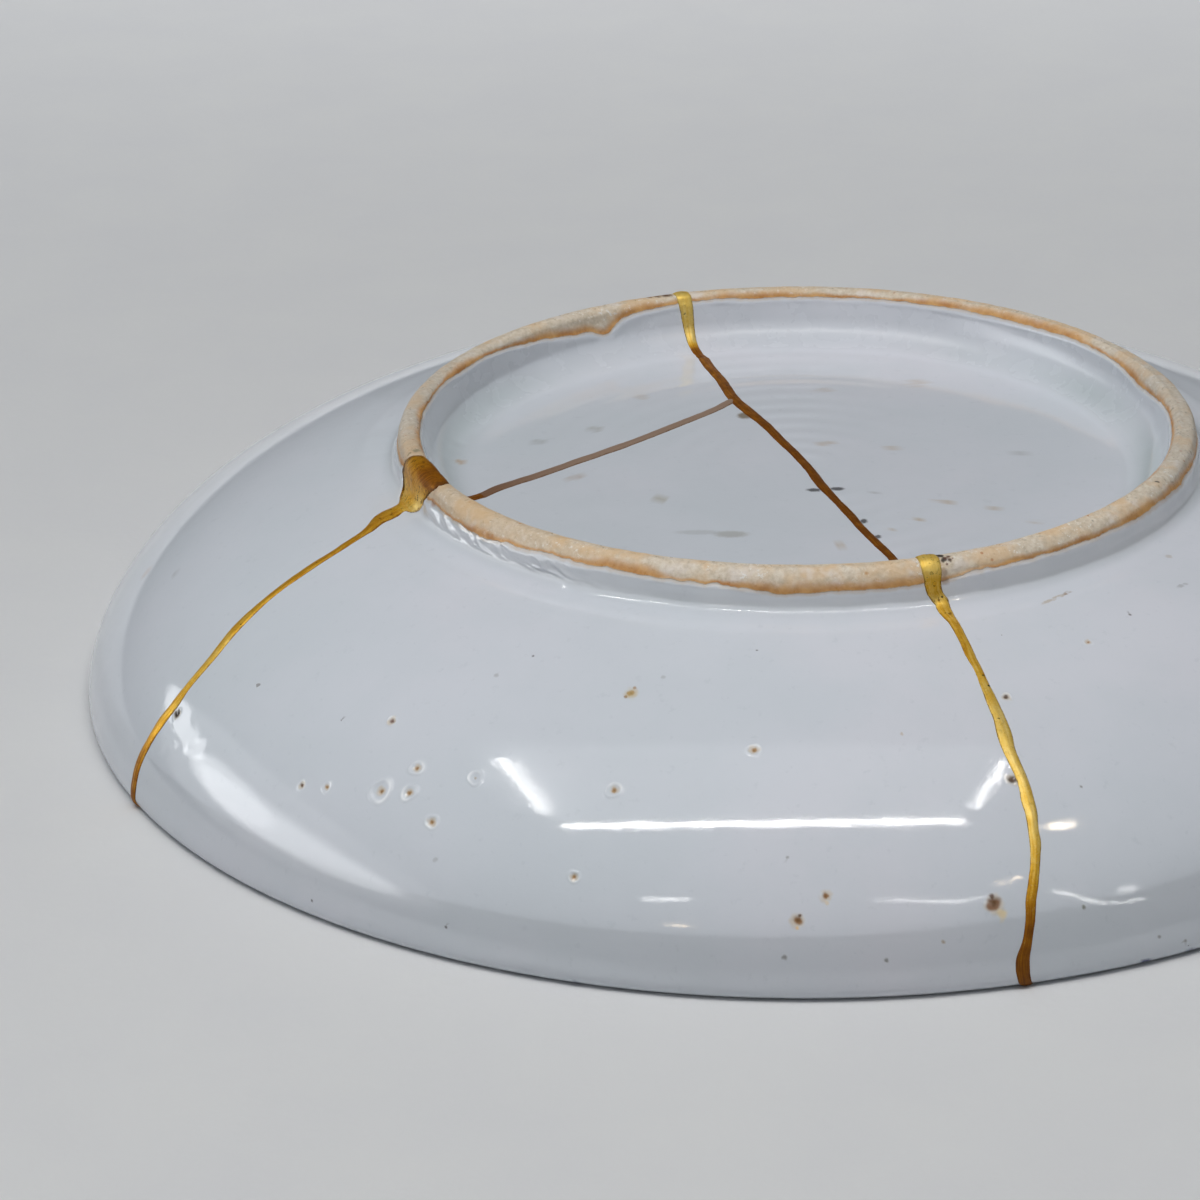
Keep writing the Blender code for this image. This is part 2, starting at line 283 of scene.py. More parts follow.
# the gold fill of the foot ring's chip: its two edges, as angles, at heights inside and outside the crest
CHIP_ROWS = [(s_inner(26.6), -162.0, -156.5), (s_inner(27.2), -162.6, -153.2), (s_inner(27.7), -163.0, -151.6), (S_TOP, -163.3, -151.0),
             (s_outer(27.7), -164.0, -151.0), (s_outer(27.0), -165.0, -151.9), (s_outer(26.3), -165.5, -152.7),
             (s_outer(25.3), -165.3, -153.7), (s_outer(24.5), -164.0, -154.4), (s_outer(23.95), -162.4, -155.6),
             (float(s_wall(43.2)), -160.7, -156.9)]
chip = np.array(CHIP_ROWS)
CHIP_LO, CHIP_HI = curve(chip[:, 0], chip[:, 1]), curve(chip[:, 0], chip[:, 2])


def turn(th):
    """Degrees from -180-ish to 180-ish with the left side continuous: -251 to 109."""
    d = np.degrees(th)
    return np.where(d > 108.9, d - 360, d)


def glaze_edges(th):
    """Where the glaze stops on the foot's inner and outer side, as distances along the section."""
    d = np.degrees(th)
    P = np.stack([40 * np.cos(th), 40 * np.sin(th), np.zeros_like(th)], -1)
    zi = 27.35 + 0.28 * fbm(P, 7.0, 3, 11)
    dd = np.where(d < 0, d + 360, d)
    zi = zi - 1.15 * bell(dd, 128, 9.0) - 1.0 * bell(dd, 123.5, 2.2) - 0.35 * bell(dd, 139, 4.0)
    zi = zi - 0.8 * bell(d, 17, 9) - 0.6 * bell(dd, 250, 6) - 0.5 * bell(dd, 200, 5)
    zo = 26.15 + 0.30 * fbm(P, 6.0, 3, 23) + 0.10 * noise(P, 1.1, 5)
    zo = zo - 0.22 * smooth(-98, -86, d) * (1 - smooth(-84, -72, d))
    zo = zo + 0.62 * smooth(-76, -63, d) * (1 - smooth(-30, 10, d)) + 0.10 * smooth(-92, -84, d) * (1 - smooth(-80, -70, d))
    zo = zo + 0.35 * bell(d, -150, 5) + 0.52 * smooth(-140, -129, d) * (1 - smooth(-102, -90, d)) + 0.12 * noise(P, 2.4, 6)
    si = np.interp(zi, SZ[:TOP], SS[:TOP])
    so = np.interp(-zo, -SZ[TOP:RIM_I], SS[TOP:RIM_I])
    return si, so


def dress(P, s, th):
    """Height of the real surface over the turned one, along its normal, and the masks that the glaze needs.

    P are the points, s their distance along the section (below 0 on the base disc, beyond S_END on the well's), th their angle.
    """
    r = np.hypot(P[:, 0], P[:, 1])
    inside = s > S_FLOOR
    disc = s < 0
    d = np.degrees(th)
    # hand-turned wobble, faded to nothing at the crest, the rim and the cove
    wall = smooth(S_COVE + 1.5, S_COVE + 9, s) * (1 - smooth(S_RIM - 5, S_RIM, s))
    well = smooth(S_WELL + 2, S_WELL + 9, s)
    h = wall * (0.055 * noise(P, 25, 1) + 0.0045 * noise(P, 8, 2))
    h = h + well * (0.07 * noise(P, 24, 3) + 0.010 * noise(P, 7, 4))
    # faint throwing rings
    ring = np.sin(r * 2 * math.pi / 3.4 + 1.1 * noise(P, 26, 8))
    h = h + wall * 0.0022 * ring * (0.5 + 0.5 * noise(P, 15, 9)) + well * 0.006 * ring
    # the turned ridge just outside the foot, and a second softer one
    ridge = 0.072 * bell(r, 46.35, 0.70) * (0.75 + 0.35 * noise(P, 9, 12)) + 0.030 * bell(r, 49.9, 1.1) * (0.6 + 0.6 * noise(P, 12, 13))
    h = h + np.where((s > S_COVE) & ~inside, ridge, 0)
    # the thrown base: a shallow spiral and a slight dome
    base = disc | (s < S_FILLET)
    h = h + np.where(base, 0.035 * fbm(P, 9, 3, 14) + 0.012 * np.sin(r * 2.1 + th), 0)
    # orange peel of the glaze
    peel = 0.0012 * noise(P, 1.5, 16) + 0.0008 * noise(P, 0.75, 17)
    # glaze and bare clay of the foot
    si, so = glaze_edges(th)
    clay = np.minimum(s - si, so - s) * 1.0
    foot = (s > S_FILLET + 0.6) & (s < S_RIDGE)
    clay = np.where(foot, clay, -9.0)
    glaze = 1 - smooth(-0.42, 0.05, clay)
    roll = bell(clay, -0.48, 0.26)
    h = h + np.where(foot, 0.085 * glaze + 0.035 * roll * (0.6 + 0.6 * noise(P, 1.2, 18)), 0.085 * (s >= 0) * smooth(S_FILLET, S_FILLET + 0.6, s))
    fade = 1 - smooth(S_RIDGE - 1.0, S_RIDGE + 3.0, s)
    h = h * 1.0 - np.where(s > S_RIDGE - 1.0, 0.085 * (1 - fade), 0) * (s < S_FLOOR)
    h = np.where(inside | disc, h - 0.085 * (inside & (s >= 0)), h)
    grit = 0.030 * fbm(P, 0.62, 2, 19) + 0.034 * fbm(P, 2.6, 2, 20) - 0.01
    h = h + np.where(foot, grit * smooth(-0.1, 0.25, clay), 0)
    h = h + peel * np.where(foot, glaze, 1.0)
    # the ring is a little fatter on its inner side towards the right
    h = h + np.where(foot & (s < S_TOP), 0.22 * smooth(-66, -40, d) * (1 - smooth(40, 80, d)) * bell(P[:, 2], 27.3, 1.1), 0)
    # thick, crawled glaze on the foot's outer side towards the left
    left = smooth(-157, -149, d) * (1 - smooth(-124, -112, d))
    lump_p = np.stack([th * 41.0 * 0.62 + P[:, 2] * 0.75, th * 0, P[:, 2] * 0.9], -1)
    lump = 0.23 * fbm(lump_p, 0.80, 2, 21)
    flare = 0.70 * smooth(27.0, 25.3, P[:, 2]) * (1 - smooth(S_COVE + 0.1, S_COVE + 2.4, s))
    fold = np.clip(1 - np.abs(fbm(lump_p, 1.25, 2, 27)) * 2.6, 0, 1) ** 2
    lump = lump + 0.13 * fold
    # the foot's outer face is pared to a slope, from the crest out to the cove
    bevel = (0.62 * smooth(28.0, 26.0, P[:, 2]) + 0.14 * smooth(26.4, 24.8, P[:, 2])) * (1 - smooth(S_COVE - 0.9, S_COVE + 2.9, s))
    bevel = bevel * (0.30 + 0.70 * smooth(-160, -136, d) * (1 - smooth(-35, -5, d)))
    h = h + np.where((s > S_TOP) & foot, np.maximum(bevel, left * flare) + left * lump * smooth(0.25, -0.4, clay) * bell(P[:, 2], 25.7, 1.2), 0)
    # softer sags of glaze elsewhere on the foot
    sag = 0.045 * fbm(np.stack([th * 41.0 * 0.4, th * 0, P[:, 2] * 0.5], -1), 1.1, 2, 22)
    h = h + np.where(foot, (1 - left) * sag * glaze * (s > S_FILLET + 0.6), 0)
    # the chip in the foot ring, under its gold
    tt = turn(th)
    within = np.minimum(tt - CHIP_LO(s), CHIP_HI(s) - tt) * math.pi / 180 * 41
    within = np.minimum(within, np.minimum(s - chip[0, 0], chip[-1, 0] - s))
    h = h - 0.55 * smooth(0.05, 0.7, within)
    # pits
    # painted light: near-white paint for glints round the pits and for the foot's outer face, kept as the ring mask
    painted_light = np.zeros_like(h)
    outer = (s > S_COVE) & (s < S_RIM)
    for k, (x, y, rad, depth, lip) in enumerate(PITS):
        near = outer & (np.abs(P[:, 0] - x) < 4) & (np.abs(P[:, 1] - y) < 4)
        if not near.any():
            continue
        q = P[near] - PIT_P[k]
        skew = 1 + 0.07 * np.sin(np.arctan2(q[:, 1], q[:, 0]) * 2 + k) + 0.06 * np.sin(np.arctan2(q[:, 1], q[:, 0]) * 3 + 2.2 * k)
        dist = np.sqrt((q ** 2).sum(-1)) / (rad * skew)
        hole = 0.30 * np.exp(-(dist / 0.24) ** 2) + 0.26 * (1 - smooth(0.30, 0.98, dist))
        up = np.exp(-((dist - 1.0) / 0.18) ** 2) + 0.25 * np.exp(-(dist / 2.0) ** 2)
        h[near] += -depth * hole + 1.0 * lip * up
        # painted glint: near-white paint on each pit's rim, strongest on one side
        round_ = np.arctan2(q[:, 1], q[:, 0])
        share = np.clip(0.35 + 0.65 * np.cos(round_ - math.radians(PIT_GLINT_SIDE[k])) + 0.25 * np.sin(round_ * 3.0 + 1.1 * k), 0.0, 1.0)
        painted_glint = min(1.0, lip / 0.06) * np.exp(-((dist - 0.90) / 0.17) ** 2) * (0.16 + 0.84 * share)
        painted_light[near] = np.maximum(painted_light[near], painted_glint)
    # a short crease and a few soft dents near the left seam
    near = np.nonzero(outer & (np.abs(P[:, 0] + 59) < 5) & (np.abs(P[:, 1] + 41) < 5))[0]
    if len(near):
        q = P[near, :2] - (-58.95, -41.95)
        a, b = q @ (0.93, -0.37), q @ (0.37, 0.93)
        h[near] += -0.075 * np.exp(-(a / 0.95) ** 4) * np.exp(-((b + 0.12 * np.sin(a * 3.4)) / 0.24) ** 2)
        q = P[near, :2] - (-61.3, -39.3)
        h[near] += 0.030 * np.exp(-(q ** 2).sum(-1) / 3.0) * noise(P[near], 0.9, 61)
    # the glaze on the foot's outer face, from the crest down to the cove, is painted near white: painted light
    painted_light = np.maximum(painted_light, 0.42 * ((s > S_TOP) & foot) * (1 - smooth(S_COVE - 0.4, S_COVE + 1.0, s)) * (0.75 + 0.25 * noise(P, 3.0, 31)))
    # nothing may sink into the floor
    h = np.where((s > S_RIM) & (s < S_WELL), h * (1 - smooth(0.0, 0.9, 1.2 - P[:, 2])), h)
    # darker, greener glaze in the cove outside the foot and in the hollow inside it, stronger on the right, and inside
    # the foot stronger on the near side
    hollow_tint = 0.34 * bell(s, S_COVE + 0.1, 0.9) * (s > S_TOP)
    far = smooth(0.0, 1.0, np.sin(th))
    hollow_tint = np.maximum(hollow_tint, (0.55 - 0.45 * far + 0.30 * noise(P, 14, 24)) * bell(s, S_FILLET + 2.2, 1.9) * (s < S_TOP) * (s > 0))
    east = smooth(-40, -10, d) * (1 - smooth(60, 90, d))
    hollow_tint = np.clip(hollow_tint * (0.55 + 0.6 * east + 0.25 * noise(P, 8, 25)), 0, 1)
    # ring is the painted light: the pits' glints and the foot's lightened outer face
    return h, {"clay": clay, "hollow_tint": hollow_tint, "ring": painted_light, "well": inside.astype(float)}


def surface(s, th):
    """Points and normals of the turned form at distances s and angles th."""
    r, z = np.interp(s, SS, SR), np.interp(s, SS, SZ)
    nr, nz = np.interp(s, SS, NR), np.interp(s, SS, NZ)
    k = np.hypot(nr, nz)
    c, t = np.cos(th), np.sin(th)
    return np.stack([r * c, r * t, z], -1), np.stack([nr / k * c, nr / k * t, nz / k], -1)


def srgb(r, g, b):
    return tuple(((c / 255 + 0.055) / 1.055) ** 2.4 if c / 255 > 0.04045 else c / 255 / 12.92 for c in (r, g, b))


# spots of iron, dirt and stain on the glaze, with two painted glints: x, y, z, radius (mm), colour, strength
IRON, RUST, SOOT, TAN, GREY = srgb(92, 56, 22), srgb(166, 124, 66), srgb(48, 38, 32), srgb(186, 160, 124), srgb(132, 130, 126)


def on_wall(x, y):
    return float(np.interp(s_wall(math.hypot(x, y)), SS, SZ))


SPOTS = []
for (x, y, rad, depth, lip), colour, size in zip(PITS, [
        RUST, RUST, RUST, RUST, srgb(120, 90, 84), IRON, RUST, RUST, RUST, RUST, srgb(146, 100, 46), srgb(146, 100, 46), srgb(122, 74, 26), srgb(70, 44, 26), srgb(66, 42, 24),
        srgb(186, 140, 90), srgb(170, 122, 40), GREY, SOOT, RUST, RUST, TAN, RUST],
        [0.32, 0.27, 0.26, 0.27, 0.28, 0.25, 0.20, 0.28, 0.28, 0.25, 0.48, 0.34, 0.74, 0.28, 0.52, 0.19, 0.40, 0.08, 0.42, 0.2, 0.22, 0.2, 0.2]):
    SPOTS.append((x, y, on_wall(x, y), min(size * 1.9, size + 0.28), srgb(206, 182, 140), 0.50))
    SPOTS.append((x, y, on_wall(x, y), size, colour, 0.88))
    SPOTS.append((x, y, on_wall(x, y), size * 0.42, srgb(92, 58, 28), 0.50))
# the light spots at (0.20, -74.15) and (2.9, -72.85), beside two brown pits, are painted glints
for x, y, size, colour, k in [
        (0.20, -74.15, 0.20, srgb(240, 206, 150), 0.9), (0.45, -73.55, 0.20, srgb(96, 60, 26), 0.85), (2.9, -72.85, 0.24, srgb(226, 210, 184), 0.8),
        (18.78, -71.62, 0.56, srgb(232, 214, 176), 0.95), (17.9, -70.9, 0.30, srgb(92, 52, 20), 0.8), (-25.0, -47.4, 0.15, SOOT, 0.75), (-3.6, -48.8, 0.14, SOOT, 0.75), (-0.9, -75.3, 0.26, GREY, 0.8),
        (8.3, -75.0, 0.24, GREY, 0.8), (26.3, -69.46, 0.24, srgb(126, 128, 112), 0.8), (33.5, -68.0, 0.20, GREY, 0.7), (36.0, -66.9, 0.2, GREY, 0.7),
        (-0.7, -70.1, 0.16, GREY, 0.6), (-15.1, -53.2, 0.20, RUST, 0.7), (-15.9, -54.2, 0.22, srgb(150, 108, 40), 0.8), (-15.4, -54.0, 0.75, srgb(206, 190, 140), 0.35), (-61.5, -36.5, 0.50, SOOT, 0.85),
        (-43.45, -49.14, 0.12, SOOT, 0.7), (-32.24, -68.37, 0.16, SOOT, 0.8), (-45.64, -60.67, 0.16, SOOT, 0.8), (32.29, -39.33, 0.18, srgb(70, 60, 56), 0.8), (26.38, -61.31, 0.16, GREY, 0.85),
        (13.41, -73.75, 0.20, srgb(150, 120, 60), 0.6), (9.9, -59.0, 0.20, TAN, 0.5), (-28.4, -49.21, 0.30, GREY, 0.35), (-12.43, -52.12, 0.25, GREY, 0.3), (-33.34, -64.81, 0.3, GREY, 0.3),
        (37.0, -27.5, 0.4, srgb(176, 160, 140), 0.4), (-68.9, -6.62, 0.9, srgb(196, 172, 160), 0.35), (-64.8, -12.95, 0.5, GREY, 0.25)]:
    SPOTS.append((x, y, on_wall(x, y), size, colour, k))
for x, y, size, colour, k in [
        (-35.6, 0.2, 0.8, srgb(190, 158, 120), 0.6), (-23.13, -3.88, 0.8, srgb(176, 152, 132), 0.45), (-14.25, -10.1, 0.9, srgb(168, 160, 140), 0.55), (-27.6, 6.3, 0.9, GREY, 0.3),
        (-21.8, 10.2, 0.9, srgb(160, 158, 150), 0.45), (7.88, -8.25, 0.5, srgb(150, 150, 150), 0.4), (15.39, -10.75, 0.8, TAN, 0.5), (12.54, -15.61, 0.6, TAN, 0.6),
        (4.63, -21.77, 0.7, TAN, 0.45), (9.79, -18.17, 0.5, TAN, 0.35), (13.8, 24.3, 1.3, TAN, 0.35), (3.07, 5.84, 0.9, TAN, 0.4),
        (10.3, 4.6, 0.8, TAN, 0.35), (24.0, -16.0, 0.6, TAN, 0.4), (20.5, -12.5, 0.6, TAN, 0.4), (24.0, 3.0, 0.7, GREY, 0.25), (3.0, 22.0, 0.9, TAN, 0.25), (-17.0, 20.0, 0.9, TAN, 0.25)]:
    SPOTS.append((x, y, BASE_Z, size, colour, k))
# flecks of lacquer and iron on the foot ring
for deg, r, z, size, colour, k in [
        (-70.20, 40.35, 28.05, 0.40, SOOT, 0.95), (-69.9, 40.7, 28.08, 0.32, SOOT, 0.95), (-69.7, 41.25, 27.95, 0.38, SOOT, 0.95), (-69.0, 41.45, 27.85, 0.30, srgb(70, 40, 26), 0.9), (-69.4, 41.2, 27.95, 0.26, srgb(88, 44, 30), 0.9),
        (-69.0, 41.0, 28.0, 0.28, srgb(88, 44, 30), 0.9), (-70.5, 41.0, 28.02, 0.22, SOOT, 0.85), (-69.5, 41.6, 27.6, 0.18, srgb(110, 56, 36), 0.85), (-68.5, 41.3, 27.9, 0.16, srgb(100, 50, 30), 0.8),
        (-73.65, 41.3, 27.9, 0.14, SOOT, 0.8), (-70.2, 41.85, 27.0, 0.45, srgb(120, 84, 60), 0.5), (-70.2, 41.9, 26.3, 0.5, srgb(140, 100, 66), 0.5),
        (-90.8, 41.5, 27.7, 0.13, srgb(96, 40, 34), 0.9), (-118.0, 41.5, 27.7, 0.13, srgb(96, 50, 34), 0.8), (-104.8, 41.4, 27.8, 0.10, srgb(96, 50, 34), 0.8),
        (-80.6, 41.6, 27.5, 0.26, srgb(196, 140, 80), 0.8), (-27.6, 41.0, 28.0, 0.28, SOOT, 0.85), (-45.0, 41.2, 27.9, 0.20, SOOT, 0.8), (-62.5, 41.5, 27.7, 0.14, srgb(96, 50, 34), 0.8),
        (-60.5, 40.9, 28.0, 0.12, srgb(120, 60, 40), 0.7), (111.3, 40.8, 28.05, 0.7, srgb(84, 50, 18), 0.9), (112.8, 40.9, 28.05, 0.55, srgb(96, 60, 24), 0.85), (114.0, 41.0, 28.0, 0.4, srgb(120, 84, 44), 0.7),
        (-165.2, 40.6, 28.05, 0.5, srgb(130, 128, 104), 0.75), (-164.6, 41.3, 27.8, 0.35, srgb(120, 110, 84), 0.6), (-150.2, 41.7, 26.6, 0.55, srgb(176, 122, 88), 0.7),
        (-150.6, 41.5, 27.4, 0.5, srgb(176, 140, 112), 0.5)]:
    a = math.radians(deg)
    SPOTS.append((r * math.cos(a), r * math.sin(a), z, size, colour, k))



# cobalt that comes over the rim here and there: x, y, z, radius
COBALT = [(32.18, -68.85, 0.35, 0.55), (32.5, -68.75, 0.1, 0.8), (34.0, -68.0, 0.0, 0.6), (35.4, -67.25, 0.1, 0.55), (36.6, -66.6, 0.0, 0.8), (38.4, -65.6, 0.1, 0.6),
          (29.5, -70.05, 0.0, 0.5), (41.5, -63.7, 0.1, 0.7), (-20.0, -73.3, 0.0, 0.7), (-52.0, -55.4, 0.0, 0.7), (60.0, 46.6, 0.0, 0.8), (5.0, 75.8, 0.0, 0.8)]
for x, y, z, size in COBALT:
    SPOTS.append((x, y, z, size, srgb(34, 40, 110), 0.9))
spot_places = np.array([q[:3] for q in SPOTS])
spot_sizes = np.array([q[3] for q in SPOTS])


def stains_and_glints(P):
    """Colour and cover of the stains and painted glints at each point, the colour already multiplied by the cover."""
    out = np.zeros((len(P), 4))
    for k, (x, y, z, size, tint, strength) in enumerate(SPOTS):
        reach = size * 1.6 + 0.3
        near = np.nonzero((np.abs(P[:, 0] - x) < reach) & (np.abs(P[:, 1] - y) < reach) & (np.abs(P[:, 2] - z) < reach))[0]
        if len(near) == 0:
            continue
        q = P[near]
        shake = np.stack([fbm(q, max(0.35, size * 0.9), 2, 60 + k), fbm(q, max(0.35, size * 0.9), 2, 90 + k), np.zeros(len(q))], -1) * size * 0.45
        dist = np.sqrt(((q + shake - (x, y, z)) ** 2).sum(-1))
        f = strength * (1 - smooth(size * 0.50, size * 1.15, dist))
        out[near, :3] = out[near, :3] * (1 - f[:, None]) + np.array(tint) * f[:, None]
        out[near, 3] = out[near, 3] * (1 - f) + f
    return out


# ------------------------------------------------------------------ rows along the section
def row_places(scale):
    def gap(s):
        if s < S_FILLET:
            return 0.75
        if s < s_inner(26.2):
            return 0.38
        if s < s_outer(24.9):
            return 0.165
        if s < S_COVE + 2.2:
            return 0.24
        if s < S_RIDGE + 4:
            return 0.34
        if s < S_RIM - 3:
            return 0.47
        if s < S_RIM:
            return 0.36
        if s < S_WELL + 1:
            return 0.30
        if s < S_WELL + 6:
            return 0.7
        return 1.15
    out, s = [0.0], 0.0
    while s < S_END:
        s += gap(s) * scale * FINE
        out.append(s)
    out = np.array(out)
    return out * S_END / out[-1]


def columns(lo, hi, density):
    """Shares from 0 to 1 of a sherd's angle, closer together where density (degrees between columns) is small."""
    t = np.linspace(0, 1, 4001)
    d = lo + (hi - lo) * t
    w = np.concatenate([[0], np.cumsum(0.5 * (1 / density(d[1:]) + 1 / density(d[:-1])) * np.diff(d))])
    n = int(round(w[-1] / FINE))
    return np.interp(np.linspace(0, w[-1], n + 1), w, t)


CLEAR = 0.10     # a sherd's edge stands this far from the middle of the crack


def offset(line, by):
    d = np.gradient(line[:, :2], axis=0)
    d /= np.hypot(*d.T)[:, None]
    return line[:, :2] + np.stack([-d[:, 1], d[:, 0]], -1) * by


def resample(line, n, power=1.0):
    d = np.concatenate([[0], np.cumsum(np.hypot(*np.diff(line, axis=0).T))])
    t = np.linspace(0, 1, n) ** power * d[-1]
    return np.stack([np.interp(t, d, line[:, 0]), np.interp(t, d, line[:, 1])], -1)


def make_sherd(name, crack_lo, crack_hi, lo_shift, hi_shift, density, side_lo, side_hi, scale=1.0):
    """One sherd between two cracks. side_lo and side_hi are the disc's side lines from the circle inwards;
    where side_hi is None the sherd is bounded by one line right across the disc, from its start to its end."""
    rows = row_places(scale)
    mid_lo, mid_hi = float(crack_lo(60)) + lo_shift, float(crack_hi(60)) + hi_shift
    U = columns(mid_lo, mid_hi, density)
    nr_, nu = len(rows), len(U)
    r = np.interp(rows, SS, SR)
    lo = np.radians(crack_lo(r) + lo_shift) + CLEAR / r
    hi = np.radians(crack_hi(r) + hi_shift) - CLEAR / r
    TH = lo[:, None] + (hi - lo)[:, None] * U[None, :]
    S = np.repeat(rows[:, None], nu, 1)
    base, normal = surface(S.ravel(), TH.ravel())
    verts, norms = [base], [normal]
    s_all, th_all = [S.ravel()], [TH.ravel()]
    faces = []
    grid = np.arange(nr_ * nu).reshape(nr_, nu)
    quads = np.stack([grid[:-1, :-1], grid[1:, :-1], grid[1:, 1:], grid[:-1, 1:]], -1).reshape(-1, 4)
    faces.append(quads)
    count = nr_ * nu
    # the two flat discs
    arc_xy = DISC_R * np.stack([np.cos(TH[0]), np.sin(TH[0])], -1)
    sides = []
    for up, ring_row, n_rows in ((True, 0, int((26 if side_hi is None else 34) / FINE)), (False, nr_ - 1, int(14 / FINE))):
        z = BASE_Z if up else WELL_FLOOR
        edge = base.reshape(nr_, nu, 3)[ring_row, :, :2]
        t = np.linspace(0, 1, n_rows + 1)[1:]
        if side_hi is None:
            t = 1 - (1 - t) ** 1.35
            line = resample(side_lo, nu)
            pts = [edge * (1 - k) + line * k for k in t]
            inner = [p.copy() for p in pts]
            ids = [grid[ring_row]]
            for p in inner:
                row = np.empty(nu, np.int64)
                row[0], row[-1] = grid[ring_row][0], grid[ring_row][-1]
                row[1:-1] = count + np.arange(nu - 2)
                count += nu - 2
                ids.append(row)
                q = np.column_stack([p[1:-1], np.full(nu - 2, z)])
                verts.append(q)
            chain = ids[-1]
            sides.append(chain)
        else:
            ca, cb = resample(side_lo, n_rows + 1), resample(side_hi, n_rows + 1)
            tip = 0.5 * (ca[-1] + cb[-1])
            ca[0], cb[0] = edge[0], edge[-1]
            u = U[:, None]
            ids = [grid[ring_row]]
            for j, k in enumerate(t, 1):
                if j == n_rows:
                    q = np.array([[tip[0], tip[1], z]])
                    row = np.full(nu, count)
                    count += 1
                else:
                    p = ((1 - k) * edge + k * tip + (1 - u) * ca[j] + u * cb[j]
                         - ((1 - u) * ((1 - k) * edge[0] + k * tip) + u * ((1 - k) * edge[-1] + k * tip)))
                    q = np.column_stack([p, np.full(nu, z)])
                    row = count + np.arange(nu)
                    count += nu
                ids.append(row)
                verts.append(q)
            sides.append((np.array([row[0] for row in ids]), np.array([row[-1] for row in ids])))
        for a, b in zip(ids, ids[1:]):
            for i in range(nu - 1):
                f = [a[i], a[i + 1], b[i + 1], b[i]] if up else [a[i], b[i], b[i + 1], a[i + 1]]
                g = [v for n, v in enumerate(f) if v != f[n - 1]]
                if len(set(g)) >= 3:
                    faces.append(g)
    n_disc = count - nr_ * nu
    disc_verts = np.concatenate(verts[1:])
    th_disc = np.arctan2(disc_verts[:, 1], disc_verts[:, 0])
    up_disc = disc_verts[:, 2] > 21
    s_all.append(np.where(up_disc, -1.0, S_END + 1.0))
    th_all.append(th_disc)
    norms.append(np.stack([np.zeros(n_disc), np.zeros(n_disc), np.where(up_disc, 1.0, -1.0)], -1))
    P = np.concatenate([base, disc_verts])
    N = np.concatenate(norms)
    s_arr, th_arr = np.concatenate(s_all), np.concatenate(th_all)
    all_faces = quads.tolist()
    for f in faces[1:]:
        all_faces.append([int(v) for v in f])

    # finer squares around the pits
    mesh = bpy.data.meshes.new(name)
    mesh.from_pydata(P.tolist(), [], all_faces)
    bm = bmesh.new()
    bm.from_mesh(mesh)
    bm.verts.ensure_lookup_table()
    chosen = set()
    edge_cols = set(grid[:, 0].tolist()) | set(grid[:, -1].tolist())
    qc = P[quads].mean(1)
    qs = s_arr[quads[:, 0]]
    bm.faces.ensure_lookup_table()
    zones = [(PIT_P[k], rad * 1.75 + 0.25) for k, (x, y, rad, depth, lip) in enumerate(PITS)]
    zones += [(np.array(q[:3]), q[3] * 1.3 + 0.15) for q in SPOTS if q[3] < 0.5 and abs(q[2] - BASE_Z) > 0.01]
    for place, reach in zones:
        idx = np.nonzero((np.abs(qc - place).max(1) < reach + 1) & (qs < S_RIM))[0]
        if len(idx) == 0:
            continue
        dist = np.sqrt(((qc[idx] - place) ** 2).sum(-1))
        for i in idx[dist < reach]:
            if not edge_cols.intersection(quads[i].tolist()):
                chosen.add(int(i))
    edges = {e for i in chosen for e in bm.faces[i].edges}
    if edges:
        bmesh.ops.subdivide_edges(bm, edges=list(edges), cuts=3, use_grid_fill=True)
    bm.verts.index_update()
    fresh = bpy.data.meshes.new(name)
    bm.to_mesh(fresh)
    bm.free()
    bpy.data.meshes.remove(mesh)
    total = len(fresh.vertices)
    co = np.empty(total * 3, np.float32)
    fresh.vertices.foreach_get("co", co)
    co = co.reshape(-1, 3).astype(float)
    if total > len(P):
        new = co[len(P):]
        th_new = np.arctan2(new[:, 1], new[:, 0])
        r_new = np.hypot(new[:, 0], new[:, 1])
        s_new = s_wall(r_new)
        foot = (r_new < SHOULDER_R + 1.5)
        if foot.any():
            coarse = np.arange(0, RIM_I, 4)
            gap = (r_new[foot][:, None] - SR[coarse][None]) ** 2 + (new[foot, 2][:, None] - SZ[coarse][None]) ** 2
            s_new[foot] = SS[coarse][gap.argmin(1)]
        p_new, n_new = surface(s_new, th_new)
        P, N = np.concatenate([P, p_new]), np.concatenate([N, n_new])
        s_arr, th_arr = np.concatenate([s_arr, s_new]), np.concatenate([th_arr, th_new])
    h, masks = dress(P, s_arr, np.arctan2(P[:, 1], P[:, 0]))
    Q = P + N * h[:, None]

    # the broken faces, under the gold
    caps = []

    def cap(chain_xy, ids, flip):
        pts = [(a, b, 0.0) for a, b in chain_xy]
        tris = tessellate_polygon([pts])
        for t3 in tris:
            f = [int(ids[i]) for i in t3]
            caps.append(f[::-1] if flip else f)

    z_row = Q[:, 2]
    if side_hi is None:
